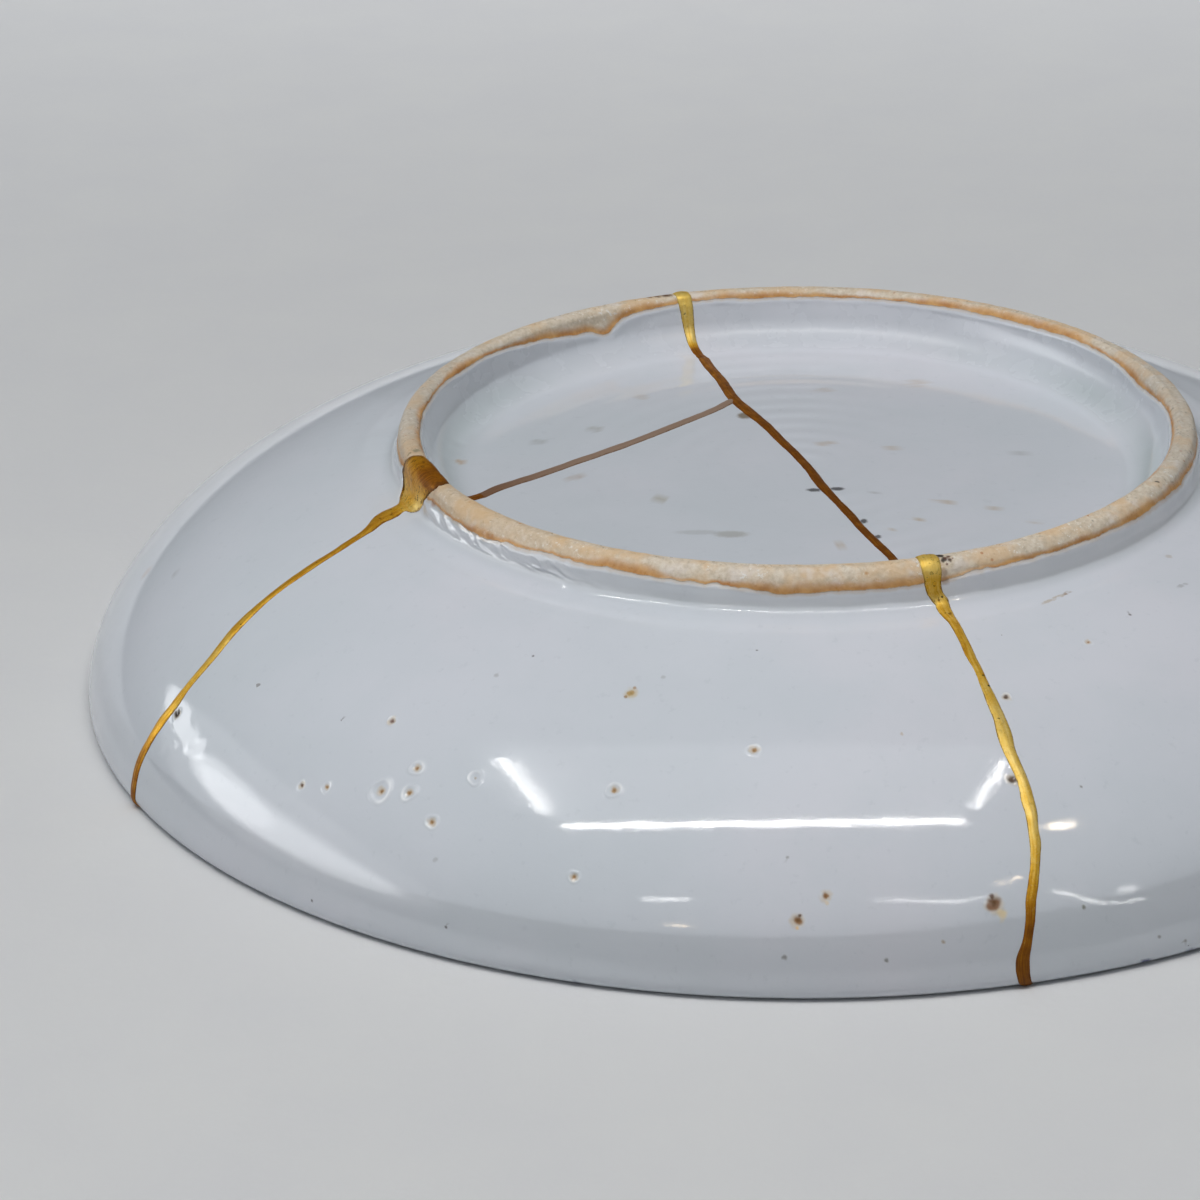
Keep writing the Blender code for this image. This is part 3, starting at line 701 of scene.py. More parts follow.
        # one face from rim to rim: path coordinate -r on the front half, +r on the back half
        front, back = grid[:, 0], grid[:, -1]
        up_chain, down_chain = sides[0], sides[1]
        n = len(up_chain)
        along = np.linspace(-DISC_R, DISC_R, n)
        ids = list(front[::-1]) + list(up_chain[1:-1]) + list(back) + list(down_chain[1:-1][::-1])
        xs = list(-r[::-1]) + list(along[1:-1]) + list(r) + list(along[1:-1][::-1])
        cap([(x, z_row[i]) for x, i in zip(xs, ids)], ids, False)
    else:
        (ulo, uhi), (dlo, dhi) = sides
        for chain, u_side, d_side, flip in ((grid[:, 0], ulo, dlo, True), (grid[:, -1], uhi, dhi, False)):
            n = len(u_side)
            inner_u = np.linspace(DISC_R, 0, n)
            inner_d = np.linspace(DISC_R, 0, len(d_side))
            ids = list(u_side[::-1]) + list(chain[1:-1]) + list(d_side)
            xs = list(inner_u[::-1]) + list(r[1:-1]) + list(inner_d)
            cap([(x, z_row[i]) for x, i in zip(xs, ids)], ids, flip)
    bm = bmesh.new()
    bm.from_mesh(fresh)
    bm.verts.ensure_lookup_table()
    for f in caps:
        if len(set(f)) == 3:
            try:
                bm.faces.new([bm.verts[i] for i in f])
            except ValueError:
                pass
    bmesh.ops.recalc_face_normals(bm, faces=bm.faces)
    bm.to_mesh(fresh)
    bm.free()
    fresh.vertices.foreach_set("co", (Q * 0.001).astype(np.float32).ravel())
    for key, values in masks.items():
        att = fresh.attributes.new(key, "FLOAT", "POINT")
        att.data.foreach_set("value", values.astype(np.float32))
    att = fresh.attributes.new("stain_and_glint", "FLOAT_COLOR", "POINT")
    att.data.foreach_set("color", stains_and_glints(P).astype(np.float32).ravel())
    fresh.update()
    fresh.shade_smooth()
    fresh.set_sharp_from_angle(angle=math.radians(50))
    ob = bpy.data.objects.new(name, fresh)
    bpy.context.scene.collection.objects.link(ob)
    return ob


# ------------------------------------------------------------------ the gold
def plan_sections(line, side, step):
    """Left and right edges across a plan line, side +1 or -1 for which edge comes first."""
    d = np.concatenate([[0], np.cumsum(np.hypot(*np.diff(line[:, :2], axis=0).T))])
    n = max(2, int(round(d[-1] / step)) + 1)
    t = np.linspace(0, d[-1], n)
    c = np.stack([np.interp(t, d, line[:, k]) for k in range(3)], -1)
    g = np.gradient(c[:, :2], axis=0)
    g /= np.hypot(*g.T)[:, None]
    nrm = np.stack([-g[:, 1], g[:, 0]], -1) * side
    return c[:, :2] + nrm * c[:, 2:] / 2, c[:, :2] - nrm * c[:, 2:] / 2


def wobble_edges(n, step, seed, amount):
    x = np.arange(n) * step
    return amount * (0.6 * wave(x, 2.6, seed) + 0.6 * wave(x, 0.9, seed + 1) + 0.45 * wave(x, 0.4, seed + 2))


class Seam:
    """Builds up the lacquer's cross sections: arrays of points, normals, distance along the section and angle."""

    def __init__(self, n):
        self.n = n
        self.P, self.N, self.S, self.T, self.W, self.brown, self.place = [], [], [], [], [], [], []

    def add_plan(self, line, top, step, brown, seed, side, rough=0.040):
        left, right = plan_sections(line, side, step)
        n = len(left)
        mid, half = 0.5 * (left + right), 0.5 * (right - left)
        w = np.hypot(*half.T)[:, None]
        unit = half / w
        wl = wobble_edges(n, step, seed, rough)[:, None]
        wr = wobble_edges(n, step, seed + 7, rough)[:, None]
        fade = np.minimum(1, np.minimum(np.arange(n), np.arange(n)[::-1]) / 4.0)[:, None]
        left, right = left + unit * wl * fade, right + unit * wr * fade
        t = np.linspace(0, 1, self.n)
        xy = left[:, None] * (1 - t)[None, :, None] + right[:, None] * t[None, :, None]
        z = np.full(xy.shape[:2], BASE_Z if top else WELL_FLOOR)
        P = np.concatenate([xy, z[..., None]], -1)
        N = np.zeros_like(P)
        N[..., 2] = 1 if top else -1
        self.P.append(P)
        self.N.append(N)
        self.S.append(np.full(z.shape, -1.0 if top else S_END + 1.0))
        self.T.append(np.arctan2(P[..., 1], P[..., 0]))
        self.W.append(np.hypot(*(right - left).T))
        self.brown.append(np.interp(np.linspace(0, 1, n), np.linspace(0, 1, len(brown)), brown))
        self.place.append(np.full(n, 0.0 if top else 3.0))

    def add_section(self, s, lo, hi, brown, seed, rough=0.035, place=1.0):
        """lo and hi: angles in degrees of the two edges at each s."""
        r = np.interp(s, SS, SR)
        n = len(s)
        step = float(np.mean(np.abs(np.diff(s))))
        fade = np.minimum(1, np.minimum(np.arange(n), np.arange(n)[::-1]) / 4.0)
        sign = np.sign(np.mean(hi - lo))
        lo = lo + sign * np.degrees(wobble_edges(n, step, seed, rough) * fade / r)
        hi = hi + sign * np.degrees(wobble_edges(n, step, seed + 7, rough) * fade / r)
        t = np.linspace(0, 1, self.n)
        th = np.radians(lo[:, None] * (1 - t) + hi[:, None] * t)
        S = np.repeat(s[:, None], self.n, 1)
        P, N = surface(S.ravel(), th.ravel())
        self.P.append(P.reshape(n, self.n, 3))
        self.N.append(N.reshape(n, self.n, 3))
        self.S.append(S)
        self.T.append(th)
        self.W.append(np.radians(np.abs(hi - lo)) * r)
        self.brown.append(brown)
        self.place.append(np.full(n, place))

    def mesh(self, closed, seed):
        P, N = np.concatenate(self.P), np.concatenate(self.N)
        S, T = np.concatenate(self.S), np.concatenate(self.T)
        W, brown = np.concatenate(self.W), np.concatenate(self.brown)
        place = np.concatenate(self.place)
        # drop sections that repeat the last one
        keep = np.concatenate([[True], np.abs(np.diff(P, axis=0)).max((1, 2)) > 0.03])
        if closed and np.abs(P[0] - P[-1]).max() < 0.03:
            keep[-1] = False
        P, N, S, T, W, brown, place = (a[keep] for a in (P, N, S, T, W, brown, place))
        n = len(P)
        mid = P[:, self.n // 2]
        run = np.concatenate([[0], np.cumsum(np.sqrt((np.diff(mid, axis=0) ** 2).sum(-1)))])
        # plain glazed surface beneath, without pits' hollows
        flat = P.reshape(-1, 3)
        h, _ = dress(flat, S.ravel(), np.arctan2(flat[:, 1], flat[:, 0]))
        chip_here = (S.ravel() > chip[0, 0]) & (S.ravel() < chip[-1, 0])
        h = np.where(chip_here & (h < -0.1), 0.02, h)
        h = np.clip(h, -0.10, 1.0).reshape(n, self.n)
        k = np.hanning(5)
        k /= k.sum()
        pad = np.pad(h, ((2, 2), (0, 0)), mode="edge")
        h = sum(pad[i:i + n] * k[i] for i in range(5))
        t = np.linspace(-1, 1, self.n)
        lift = 0.15 * np.clip(W / 1.3, 0.75, 1.25)
        lift = lift * (1 + 0.22 * wave(run, 3.1, seed + 40) + 0.12 * wave(run, 1.0, seed + 41))
        dome = (1 - np.abs(t) ** 3.0) ** 0.85
        tilt = 0.16 * wave(run, 4.2, seed + 42)
        H = (lift + 0.05)[:, None] * dome[None, :] * (1 + tilt[:, None] * t[None, :]) - 0.05
        crease = 0.25 * wave(run, 5.0, seed + 46)
        H = H + 0.022 * np.exp(-((t[None, :] - crease[:, None]) / 0.22) ** 2) * (W > 0.9)[:, None]
        Q3 = np.stack([np.repeat(run[:, None], self.n, 1) * 0.32, np.repeat(t[None, :] * 0.5, n, 0) * W[:, None], np.zeros((n, self.n))], -1).reshape(-1, 3)
        streak = fbm(Q3, 0.30, 2, seed + 43).reshape(n, self.n)
        fine = fbm(flat, 0.33, 2, seed + 44).reshape(n, self.n)
        inner = (1 - t ** 2)[None, :]
        H = H + inner * (0.020 * streak + 0.012 * fine)
        wide = np.clip((W - 2.2) / 3, 0, 1)[:, None]
        H = H + inner * wide * (0.10 * fbm(flat, 2.2, 2, seed + 45).reshape(n, self.n) - 0.03)
        top = P + N * (h + H)[..., None]
        under_t = np.array([0.55, 0.0, -0.55])
        under = []
        for u in under_t:
            f = (u + 1) / 2 * (self.n - 1)
            i = int(f)
            a = P[:, i] * (1 - (f - i)) + P[:, min(i + 1, self.n - 1)] * (f - i)
            m = N[:, i]
            under.append(a + m * (h[:, i] - 0.24)[:, None])
        ring = np.concatenate([top, np.stack(under, 1)], 1)
        m = ring.shape[1]
        tv = np.concatenate([t, under_t])
        ids = np.arange(n * m).reshape(n, m)
        a = ids if closed else ids[:-1]
        b = np.roll(ids, -1, 0) if closed else ids[1:]
        quads = np.stack([a, b, np.roll(b, -1, 1), np.roll(a, -1, 1)], -1).reshape(-1, 4).tolist()
        if not closed:
            quads.append(ids[0].tolist())
            quads.append(ids[-1].tolist()[::-1])
        shade = np.repeat(brown[:, None], m, 1)
        rr, zz, dd = np.hypot(ring[..., 0], ring[..., 1]), ring[..., 2], np.degrees(np.arctan2(ring[..., 1], ring[..., 0]))
        # painted shade and light on the chip's gold: darker near its top towards its front edge, lighter lower on the
        # foot's outer side
        shade = shade + 0.75 * bell(dd, -153.5, 4.2) * smooth(26.9, 27.9, zz) * (np.abs(rr - 41) < 1.6)
        on_chip = (S.ravel().min() < chip[0, 0]) & (np.abs(dd + 158) < 8.5) & (rr > 39.2) & (rr < 44.5)
        shade = np.where(on_chip, np.minimum(shade, 0.86), shade)
        shade = shade - 0.35 * bell(dd, -155.5, 1.8) * smooth(26.6, 25.4, zz) * (np.abs(rr - 42) < 1.6)
        data = {"across": np.tile(tv, (n, 1)).ravel(), "run": np.repeat(run[:, None], m, 1).ravel(),
                "brown": shade.ravel(), "width": np.repeat(W[:, None], m, 1).ravel(),
                "place": np.repeat(place[:, None], m, 1).ravel()}
        return ring.reshape(-1, 3), quads, data


def wall_rows(rows, unwrap=False):
    """s, low angle and high angle at each x, y, width row on the wall."""
    a = np.array(rows)
    r, th = polar(rows, unwrap)
    half = np.degrees(a[:, 2] / 2 / r)
    out = np.stack([s_wall(r), th - half, th + half], -1)
    return out[np.argsort(out[:, 0])]


def places(a, b, step_of):
    out = [a]
    while out[-1] < b - 1e-6:
        out.append(out[-1] + step_of(out[-1]) * FINE)
    out = np.array(out)
    return a + (out - a) * (b - a) / (out[-1] - a)


def step_size(s):
    if s < S_FILLET:
        return 0.25
    if s < S_COVE + 2:
        return 0.13
    if s < S_FLOOR + 3:
        return 0.26
    return 0.6


def outer_edges(wall_lo, wall_hi, ring, crack, w_in, more=0.05):
    """Edges of a seam from the disc outwards over foot, wall and rim and back along the well.

    wall_lo and wall_hi are r, angle rows of the two edges on the wall; more widens both a little."""
    out = []
    for k, wall in ((1, wall_lo), (2, wall_hi)):
        side = -1 if k == 1 else 1
        rows = [(row[0], row[k]) for row in ring]
        rows += [(float(s_wall(r)), th + side * math.degrees(more / r)) for r, th in wall if float(s_wall(r)) < S_RIM - 0.1]
        for s in [S_RIM + 0.5, S_FLOOR, S_WELL + 0.5, *np.linspace(S_WELL + 4, S_END, 16)]:
            r = float(np.interp(s, SS, SR))
            w = (1.35 if s < S_WELL + 1 else w_in * (1 + 0.22 * float(wave([s], 5.0, 77)[0])))
            rows.append((float(s), float(crack(r)) + side * math.degrees(w / 2 / r)))
        rows = np.array(sorted(rows))
        out.append(curve(rows[:, 0], rows[:, 1]))
    return out


# the gold's edges on the outer wall, as radius and angle
A_EDGES = [(43.8, -71.95, -70.10), (45.5, -71.55, -70.20), (47.3, -71.45, -70.28), (49.0, -71.51, -70.42), (51.25, -71.71, -70.64),
           (53.4, -71.60, -70.70), (55.3, -71.74, -70.76), (57.75, -71.88, -70.72), (59.45, -71.90, -70.71), (61.0, -72.13, -70.74),
           (62.5, -72.14, -70.97), (64.0, -71.98, -70.92), (65.8, -71.83, -70.83), (67.05, -72.00, -70.89), (68.25, -71.96, -71.01),
           (69.35, -72.09, -71.25), (70.4, -72.26, -71.37), (71.35, -72.49, -71.73), (72.5, -72.97, -72.12), (73.55, -73.46, -72.61),
           (74.45, -73.68, -72.94), (75.2, -74.04, -73.31), (75.76, -74.63, -73.62)]
B_LOW = [(43.95, -159.9), (44.99, -159.5), (46.30, -158.4), (47.94, -156.25), (49.30, -155.26), (50.55, -154.72), (52.44, -153.98), (54.14, -153.72),
         (55.91, -153.38), (57.66, -153.11), (59.43, -152.79), (61.20, -152.52), (62.39, -152.37), (64.21, -151.96), (65.74, -151.40), (67.25, -150.97),
         (68.74, -150.80), (70.18, -150.80), (71.46, -150.84), (72.74, -151.10), (73.73, -151.15), (74.64, -151.32), (75.34, -151.42), (75.9, -151.36)]
B_HIGH = [(44.30, -156.4), (45.90, -155.76), (47.28, -154.78), (48.51, -154.24), (49.77, -153.72), (51.04, -153.26), (52.83, -152.80), (54.62, -152.44),
          (56.37, -152.18), (58.06, -152.04), (59.83, -151.77), (61.70, -151.33), (63.63, -150.88), (65.29, -150.44), (66.81, -150.06), (68.37, -149.93),
          (69.83, -149.90), (71.03, -149.70), (72.27, -149.80), (73.42, -150.07), (74.36, -150.25), (75.13, -150.40), (75.9, -150.36)]


def start_row(crack, w):
    r = DISC_R
    th = float(crack(r))
    return (0.0, th - math.degrees(w / 2 / r), th + math.degrees(w / 2 / r))


A_FRONT_RING = [start_row(CRACK_FRONT, 1.05), (s_inner(22.9), -72.75, -71.15), (s_inner(25.4), -72.95, -71.0), (s_inner(27.3), -73.3, -70.6),
                (S_TOP, -73.40, -70.25), (s_outer(27.6), -73.30, -70.30), (s_outer(26.9), -73.15, -70.40), (s_outer(25.9), -73.10, -70.70),
                (s_outer(25.2), -72.90, -70.55), (s_outer(24.5), -72.65, -70.30), (s_outer(23.9), -72.30, -69.95), (float(s_wall(43.2)), -72.05, -69.98)]
A_BACK_RING = [start_row(CRACK_BACK, 1.25), (s_inner(22.9), 107.5, 109.3), (s_inner(24.6), 107.4, 109.5), (s_inner(26.6), 107.25, 109.75),
               (S_TOP, 107.35, 110.0), (s_outer(27.0), 107.3, 110.2), (s_outer(25.0), 107.2, 109.7), (float(s_wall(43.2)), 107.4, 109.1)]
B_RING = [start_row(CRACK_LEFT, 1.35), (float(np.interp(36.4, SR[:TOP], SS[:TOP])), -164.0, -161.6), (s_inner(24.6), -163.0, -160.2),
          (s_inner(25.8), -162.9, -159.5), *CHIP_ROWS]

# each seam's darkness profile turns the gold towards brown: partly the bare lacquer, partly painted shade where the
# gold faces dark surroundings, on the base and towards the rim
seam_a = Seam(19)
seam_a.add_plan(A_LINE, True, 0.25 * FINE, [1, 1, 1, 1, 1, 0.95, 0.9, 0.85], 200, 1)
back_rows = wall_rows(A_BACK)
back_r = np.interp(back_rows[:, 0], SS, SR)
lo, hi = outer_edges(list(zip(back_r, back_rows[:, 1])), list(zip(back_r, back_rows[:, 2])), A_BACK_RING, CRACK_BACK, 1.2)
s = places(0, S_END, step_size)
brown = np.interp(s, [0, s_inner(22.7), s_inner(23.4), S_TOP, S_RIM - 10, S_RIM, S_END], [0.95, 0.85, 0.0, 0.0, 0.1, 0.6, 0.15])
seam_a.add_section(s, hi(s), lo(s), brown, 300)
seam_a.add_plan(A_LINE[::-1], False, 0.6 * FINE, [0.15, 0.1, 0.15], 400, -1)
lo, hi = outer_edges([(r, a) for r, a, b in A_EDGES], [(r, b) for r, a, b in A_EDGES], A_FRONT_RING, CRACK_FRONT, 1.2)
s = places(0, S_END, step_size)[::-1]
brown = np.interp(s, [0, s_inner(27.2), s_inner(27.95), S_TOP, s_outer(27.3), s_outer(26.6), s_outer(25.2), s_outer(24.3), float(s_wall(44)), float(s_wall(48)), float(s_wall(54)), float(s_wall(58)), float(s_wall(64)), float(s_wall(70.5)), float(s_wall(73)), float(s_wall(75)), S_RIM + 1, S_WELL + 2, S_END],
                  [1.0, 0.9, 0.8, 0.10, 0.0, 0.22, 0.28, 0.08, 0.22, 0.34, 0.20, 0.06, 0.0, 0.10, 0.40, 0.85, 0.95, 0.2, 0.15])
seam_a.add_section(s, lo(s), hi(s), brown, 500)

seam_b = Seam(31)
seam_b.add_plan(B_LINE, True, 0.25 * FINE, [1.42, 1.38, 1.32, 1.26, 1.16], 600, 1)
lo, hi = outer_edges(B_LOW, B_HIGH, B_RING, CRACK_LEFT, 1.15)
s = places(0, S_END, step_size)
brown = np.interp(s, [0, s_inner(26), s_inner(27.2), S_TOP, s_outer(26), s_outer(24), float(s_wall(44.2)), float(s_wall(50)), float(s_wall(60)), float(s_wall(66)), float(s_wall(73)), S_RIM, S_WELL + 2, S_END],
                  [1.0, 0.95, 0.80, 0.52, 0.40, 0.14, 0.34, 0.50, 0.36, 0.14, 0.34, 0.85, 0.2, 0.15])
seam_b.add_section(s, hi(s), lo(s), brown, 700)
seam_b.add_plan(B_LINE[::-1], False, 0.6 * FINE, [0.15, 0.15], 800, -1)


def seam_object(name, seams):
    verts, faces, data = [], [], {}
    for seam, closed, seed in seams:
        v, f, d = seam.mesh(closed, seed)
        base = sum(len(x) for x in verts)
        verts.append(v)
        faces += [[i + base for i in q] for q in f]
        for key, values in d.items():
            data.setdefault(key, []).append(values)
    co = np.concatenate(verts)
    co[:, 2] = np.maximum(co[:, 2], 0.0)
    co *= 0.001
    mesh = bpy.data.meshes.new(name)
    mesh.from_pydata(co.tolist(), [], faces)
    for key, values in data.items():
        att = mesh.attributes.new(key, "FLOAT", "POINT")
        att.data.foreach_set("value", np.concatenate(values).astype(np.float32))
    bm = bmesh.new()
    bm.from_mesh(mesh)
    bmesh.ops.recalc_face_normals(bm, faces=bm.faces)
    bm.to_mesh(mesh)
    bm.free()
    mesh.shade_smooth()
    ob = bpy.data.objects.new(name, mesh)
    bpy.context.scene.collection.objects.link(ob)
    return ob


# ------------------------------------------------------------------ node helpers
class Tree:
    def __init__(self, name):
        self.mat = bpy.data.materials.new(name)
        self.mat.use_nodes = True
        self.t = self.mat.node_tree
        self.t.nodes.clear()
        self.out = self.t.nodes.new("ShaderNodeOutputMaterial")
        self.bsdf = self.t.nodes.new("ShaderNodeBsdfPrincipled")
        self.t.links.new(self.bsdf.outputs[0], self.out.inputs[0])
        self.coord = self.t.nodes.new("ShaderNodeTexCoord").outputs["Object"]

    def put(self, socket, value):
        if isinstance(value, bpy.types.NodeSocket):
            self.t.links.new(value, socket)
        elif isinstance(value, tuple) and len(value) == 3 and socket.type == "RGBA":
            socket.default_value = (*value, 1)
        else:
            socket.default_value = value

    def attr(self, name):
        n = self.t.nodes.new("ShaderNodeAttribute")
        n.attribute_name = name
        return n.outputs["Fac"]

    def math(self, op, a, b=0.0, c=0.0, clamp=False):
        n = self.t.nodes.new("ShaderNodeMath")
        n.operation = op
        n.use_clamp = clamp
        for socket, value in zip(n.inputs, (a, b, c)):
            self.put(socket, value)
        return n.outputs[0]

    def vmath(self, op, a, b=(0, 0, 0), scale=None):
        n = self.t.nodes.new("ShaderNodeVectorMath")
        n.operation = op
        self.put(n.inputs[0], a)
        self.put(n.inputs[1], b)
        if scale is not None:
            self.put(n.inputs["Scale"], scale)
        return n.outputs["Value" if op in ("DISTANCE", "LENGTH", "DOT_PRODUCT") else "Vector"]

    def noise(self, scale, detail=2.0, rough=0.5, vector=None, colour=False, distortion=0.0):
        n = self.t.nodes.new("ShaderNodeTexNoise")
        self.put(n.inputs["Vector"], self.coord if vector is None else vector)
        n.inputs["Scale"].default_value = scale
        n.inputs["Detail"].default_value = detail
        n.inputs["Roughness"].default_value = rough
        n.inputs["Distortion"].default_value = distortion
        return n.outputs["Color" if colour else "Fac"]

    def voronoi(self, scale, vector=None, out="Distance", feature="F1"):
        n = self.t.nodes.new("ShaderNodeTexVoronoi")
        n.feature = feature
        self.put(n.inputs["Vector"], self.coord if vector is None else vector)
        n.inputs["Scale"].default_value = scale
        return n.outputs[out]

    def step(self, value, e0, e1, to0=0.0, to1=1.0):
        n = self.t.nodes.new("ShaderNodeMapRange")
        n.interpolation_type = "SMOOTHSTEP"
        self.put(n.inputs["Value"], value)
        n.inputs["From Min"].default_value = e0
        n.inputs["From Max"].default_value = e1
        n.inputs["To Min"].default_value = to0
        n.inputs["To Max"].default_value = to1
        return n.outputs["Result"]

    def mix(self, fac, a, b):
        n = self.t.nodes.new("ShaderNodeMix")
        n.data_type = "RGBA"
        self.put(n.inputs[0], fac)
        self.put(n.inputs[6], a)
        self.put(n.inputs[7], b)
        return n.outputs[2]

    def ramp(self, fac, stops):
        n = self.t.nodes.new("ShaderNodeValToRGB")
        self.put(n.inputs[0], fac)
        els = n.color_ramp.elements
        while len(els) < len(stops):
            els.new(0.5)
        for e, (p, c) in zip(els, stops):
            e.position = p
            e.color = (*c, 1)
        return n.outputs[0]

    def bump(self, height, strength, distance, normal=None):
        n = self.t.nodes.new("ShaderNodeBump")
        n.inputs["Strength"].default_value = strength
        n.inputs["Distance"].default_value = distance
        self.put(n.inputs["Height"], height)
        if normal is not None:
            self.put(n.inputs["Normal"], normal)
        return n.outputs["Normal"]


def porcelain():
    m = Tree("porcelain")
    bsdf = m.bsdf
    clay_d, hollow_tint, well, ring = m.attr("clay"), m.attr("hollow_tint"), m.attr("well"), m.attr("ring")
    # the glaze: a cool blue-white with slow drifts towards green and grey
    drift = m.noise(24, 3, 0.55)
    cloud = m.noise(85, 4, 0.6)
    glaze = m.ramp(drift, [(0.30, srgb(211, 217, 223)), (0.52, srgb(217, 220, 227)), (0.72, srgb(221, 221, 228))])
    glaze = m.mix(m.step(cloud, 0.38, 0.66, 0.0, 0.35), glaze, srgb(208, 214, 220))
    # darker, greener glaze in the cove and in the hollow inside the foot
    glaze = m.mix(m.math("MULTIPLY", hollow_tint, 0.75), glaze, srgb(164, 178, 177))
    fine = m.noise(900, 3, 0.65)
    glaze = m.mix(m.step(fine, 0.60, 0.74, 0.0, 0.12), glaze, srgb(168, 176, 184))
    # scattered pinholes and iron specks, few and very small
    shake = m.vmath("SCALE", m.vmath("SUBTRACT", m.noise(2600, 2, 0.6, colour=True), (0.5, 0.5, 0.5)), scale=0.00042)
    warped = m.vmath("ADD", m.coord, shake)
    cell = m.t.nodes.new("ShaderNodeTexVoronoi")
    cell.inputs["Scale"].default_value = 95
    m.put(cell.inputs["Vector"], warped)
    pick = m.t.nodes.new("ShaderNodeSeparateColor")
    m.put(pick.inputs[0], cell.outputs["Color"])
    near = m.math("LESS_THAN", cell.outputs["Distance"], m.math("MULTIPLY", m.math("POWER", pick.outputs[0], 7.0), 0.032))
    dust = m.mix(pick.outputs[1], srgb(120, 116, 112), srgb(96, 66, 40))
    glaze = m.mix(m.math("MULTIPLY", near, 0.62), glaze, dust)
    # near-white paint from the ring mask: painted glints round the pits and painted light on the foot's outer face
    glaze = m.mix(m.math("MULTIPLY", ring, 0.90), glaze, srgb(250, 252, 254))
    # the bare clay: beige, sandy, with an orange flush along the glaze
    sand = m.noise(1500, 4, 0.7)
    body = m.ramp(sand, [(0.28, srgb(200, 184, 160)), (0.5, srgb(221, 206, 185)), (0.72, srgb(238, 228, 212))])
    patch = m.noise(210, 3, 0.6)
    body = m.mix(m.step(patch, 0.44, 0.64, 0.0, 0.66), body, srgb(228, 192, 146))
    body = m.mix(m.step(m.noise(320, 3, 0.6), 0.54, 0.68, 0.0, 0.55), body, srgb(236, 226, 218))
    glint = m.step(m.noise(2100, 3, 0.7), 0.58, 0.66)
    body = m.mix(m.math("MULTIPLY", glint, m.step(m.noise(170, 2, 0.5), 0.48, 0.62, 0.0, 0.70)), body, srgb(250, 248, 245))
    rust = m.math("LESS_THAN", m.voronoi(620), 0.10)
    body = m.mix(m.math("MULTIPLY", rust, m.step(m.noise(240, 2, 0.5), 0.50, 0.56, 0.0, 0.6)), body, srgb(184, 112, 62))
    # it is greyer towards the two sides than in front
    where = m.t.nodes.new("ShaderNodeSeparateXYZ")
    m.put(where.inputs[0], m.coord)
    aside = m.math("ABSOLUTE", where.outputs[0])
    body = m.mix(m.step(aside, 0.031, 0.040, 0.0, 0.26), body, srgb(142, 148, 152))
    tan = m.math("MULTIPLY", m.step(where.outputs[0], -0.030, -0.012, 0.34, 0.0), m.step(where.outputs[1], -0.010, 0.0, 1.0, 0.0))
    body = m.mix(tan, body, srgb(208, 172, 124))
    edge = m.math("ADD", clay_d, m.math("MULTIPLY", m.math("SUBTRACT", m.noise(900, 3, 0.6), 0.5), 0.42))
    reach = m.step(m.noise(75, 2, 0.5), 0.36, 0.62, 0.42, 1.35)
    flush = m.math("MULTIPLY", m.step(edge, -0.10, 0.10), m.step(m.math("DIVIDE", edge, reach), 0.16, 0.95, 1.0, 0.0))
    flush = m.math("MULTIPLY", flush, m.step(m.noise(150, 3, 0.6), 0.30, 0.52, 0.60, 1.0))
    body = m.mix(m.math("MULTIPLY", flush, 0.94), body, m.ramp(m.noise(500, 3, 0.6), [(0.35, srgb(190, 126, 56)), (0.65, srgb(220, 166, 98))]))
    is_clay = m.step(edge, -0.05, 0.07)
    colour = m.mix(is_clay, glaze, body)
    # thin amber lip of the glaze against the clay
    amber = m.math("MULTIPLY", m.step(edge, -0.42, -0.06), m.step(edge, -0.02, 0.04, 1.0, 0.0))
    colour = m.mix(m.math("MULTIPLY", amber, 0.42), colour, srgb(206, 178, 140))
    # stains of iron, dirt and lacquer, and two painted glints beside pits, laid on the mesh
    st = m.t.nodes.new("ShaderNodeAttribute")
    st.attribute_name = "stain_and_glint"
    bare = m.mix(st.outputs["Alpha"], colour, (0.0, 0.0, 0.0))
    colour = m.vmath("ADD", bare, st.outputs["Color"])
    # smudges and strokes of dirt on the base, beside the mended crack: x, y, half length, half width
    for x, y, a, b, tint, k in [
            (1.95, -7.45, 0.95, 0.60, srgb(62, 60, 62), 0.85), (4.35, -7.10, 0.90, 0.60, srgb(62, 58, 58), 0.85), (7.0, -15.9, 0.45, 0.75, srgb(56, 50, 48), 0.85),
            (8.35, -20.1, 0.45, 0.60, srgb(56, 50, 48), 0.80), (-5.55, 14.2, 1.00, 1.20, srgb(112, 92, 52), 0.80), (-6.5, -19.45, 2.1, 1.05, srgb(150, 145, 131), 0.46),
            (-9.9, -18.9, 2.8, 0.75, srgb(154, 155, 152), 0.28)]:
        off = m.vmath("MULTIPLY", m.vmath("SUBTRACT", warped, (x * 0.001, y * 0.001, BASE_Z * 0.001)), (1000 / a, 1000 / b, 300.0))
        colour = m.mix(m.step(m.vmath("LENGTH", off), 0.45, 1.1, k, 0.0), colour, tint)
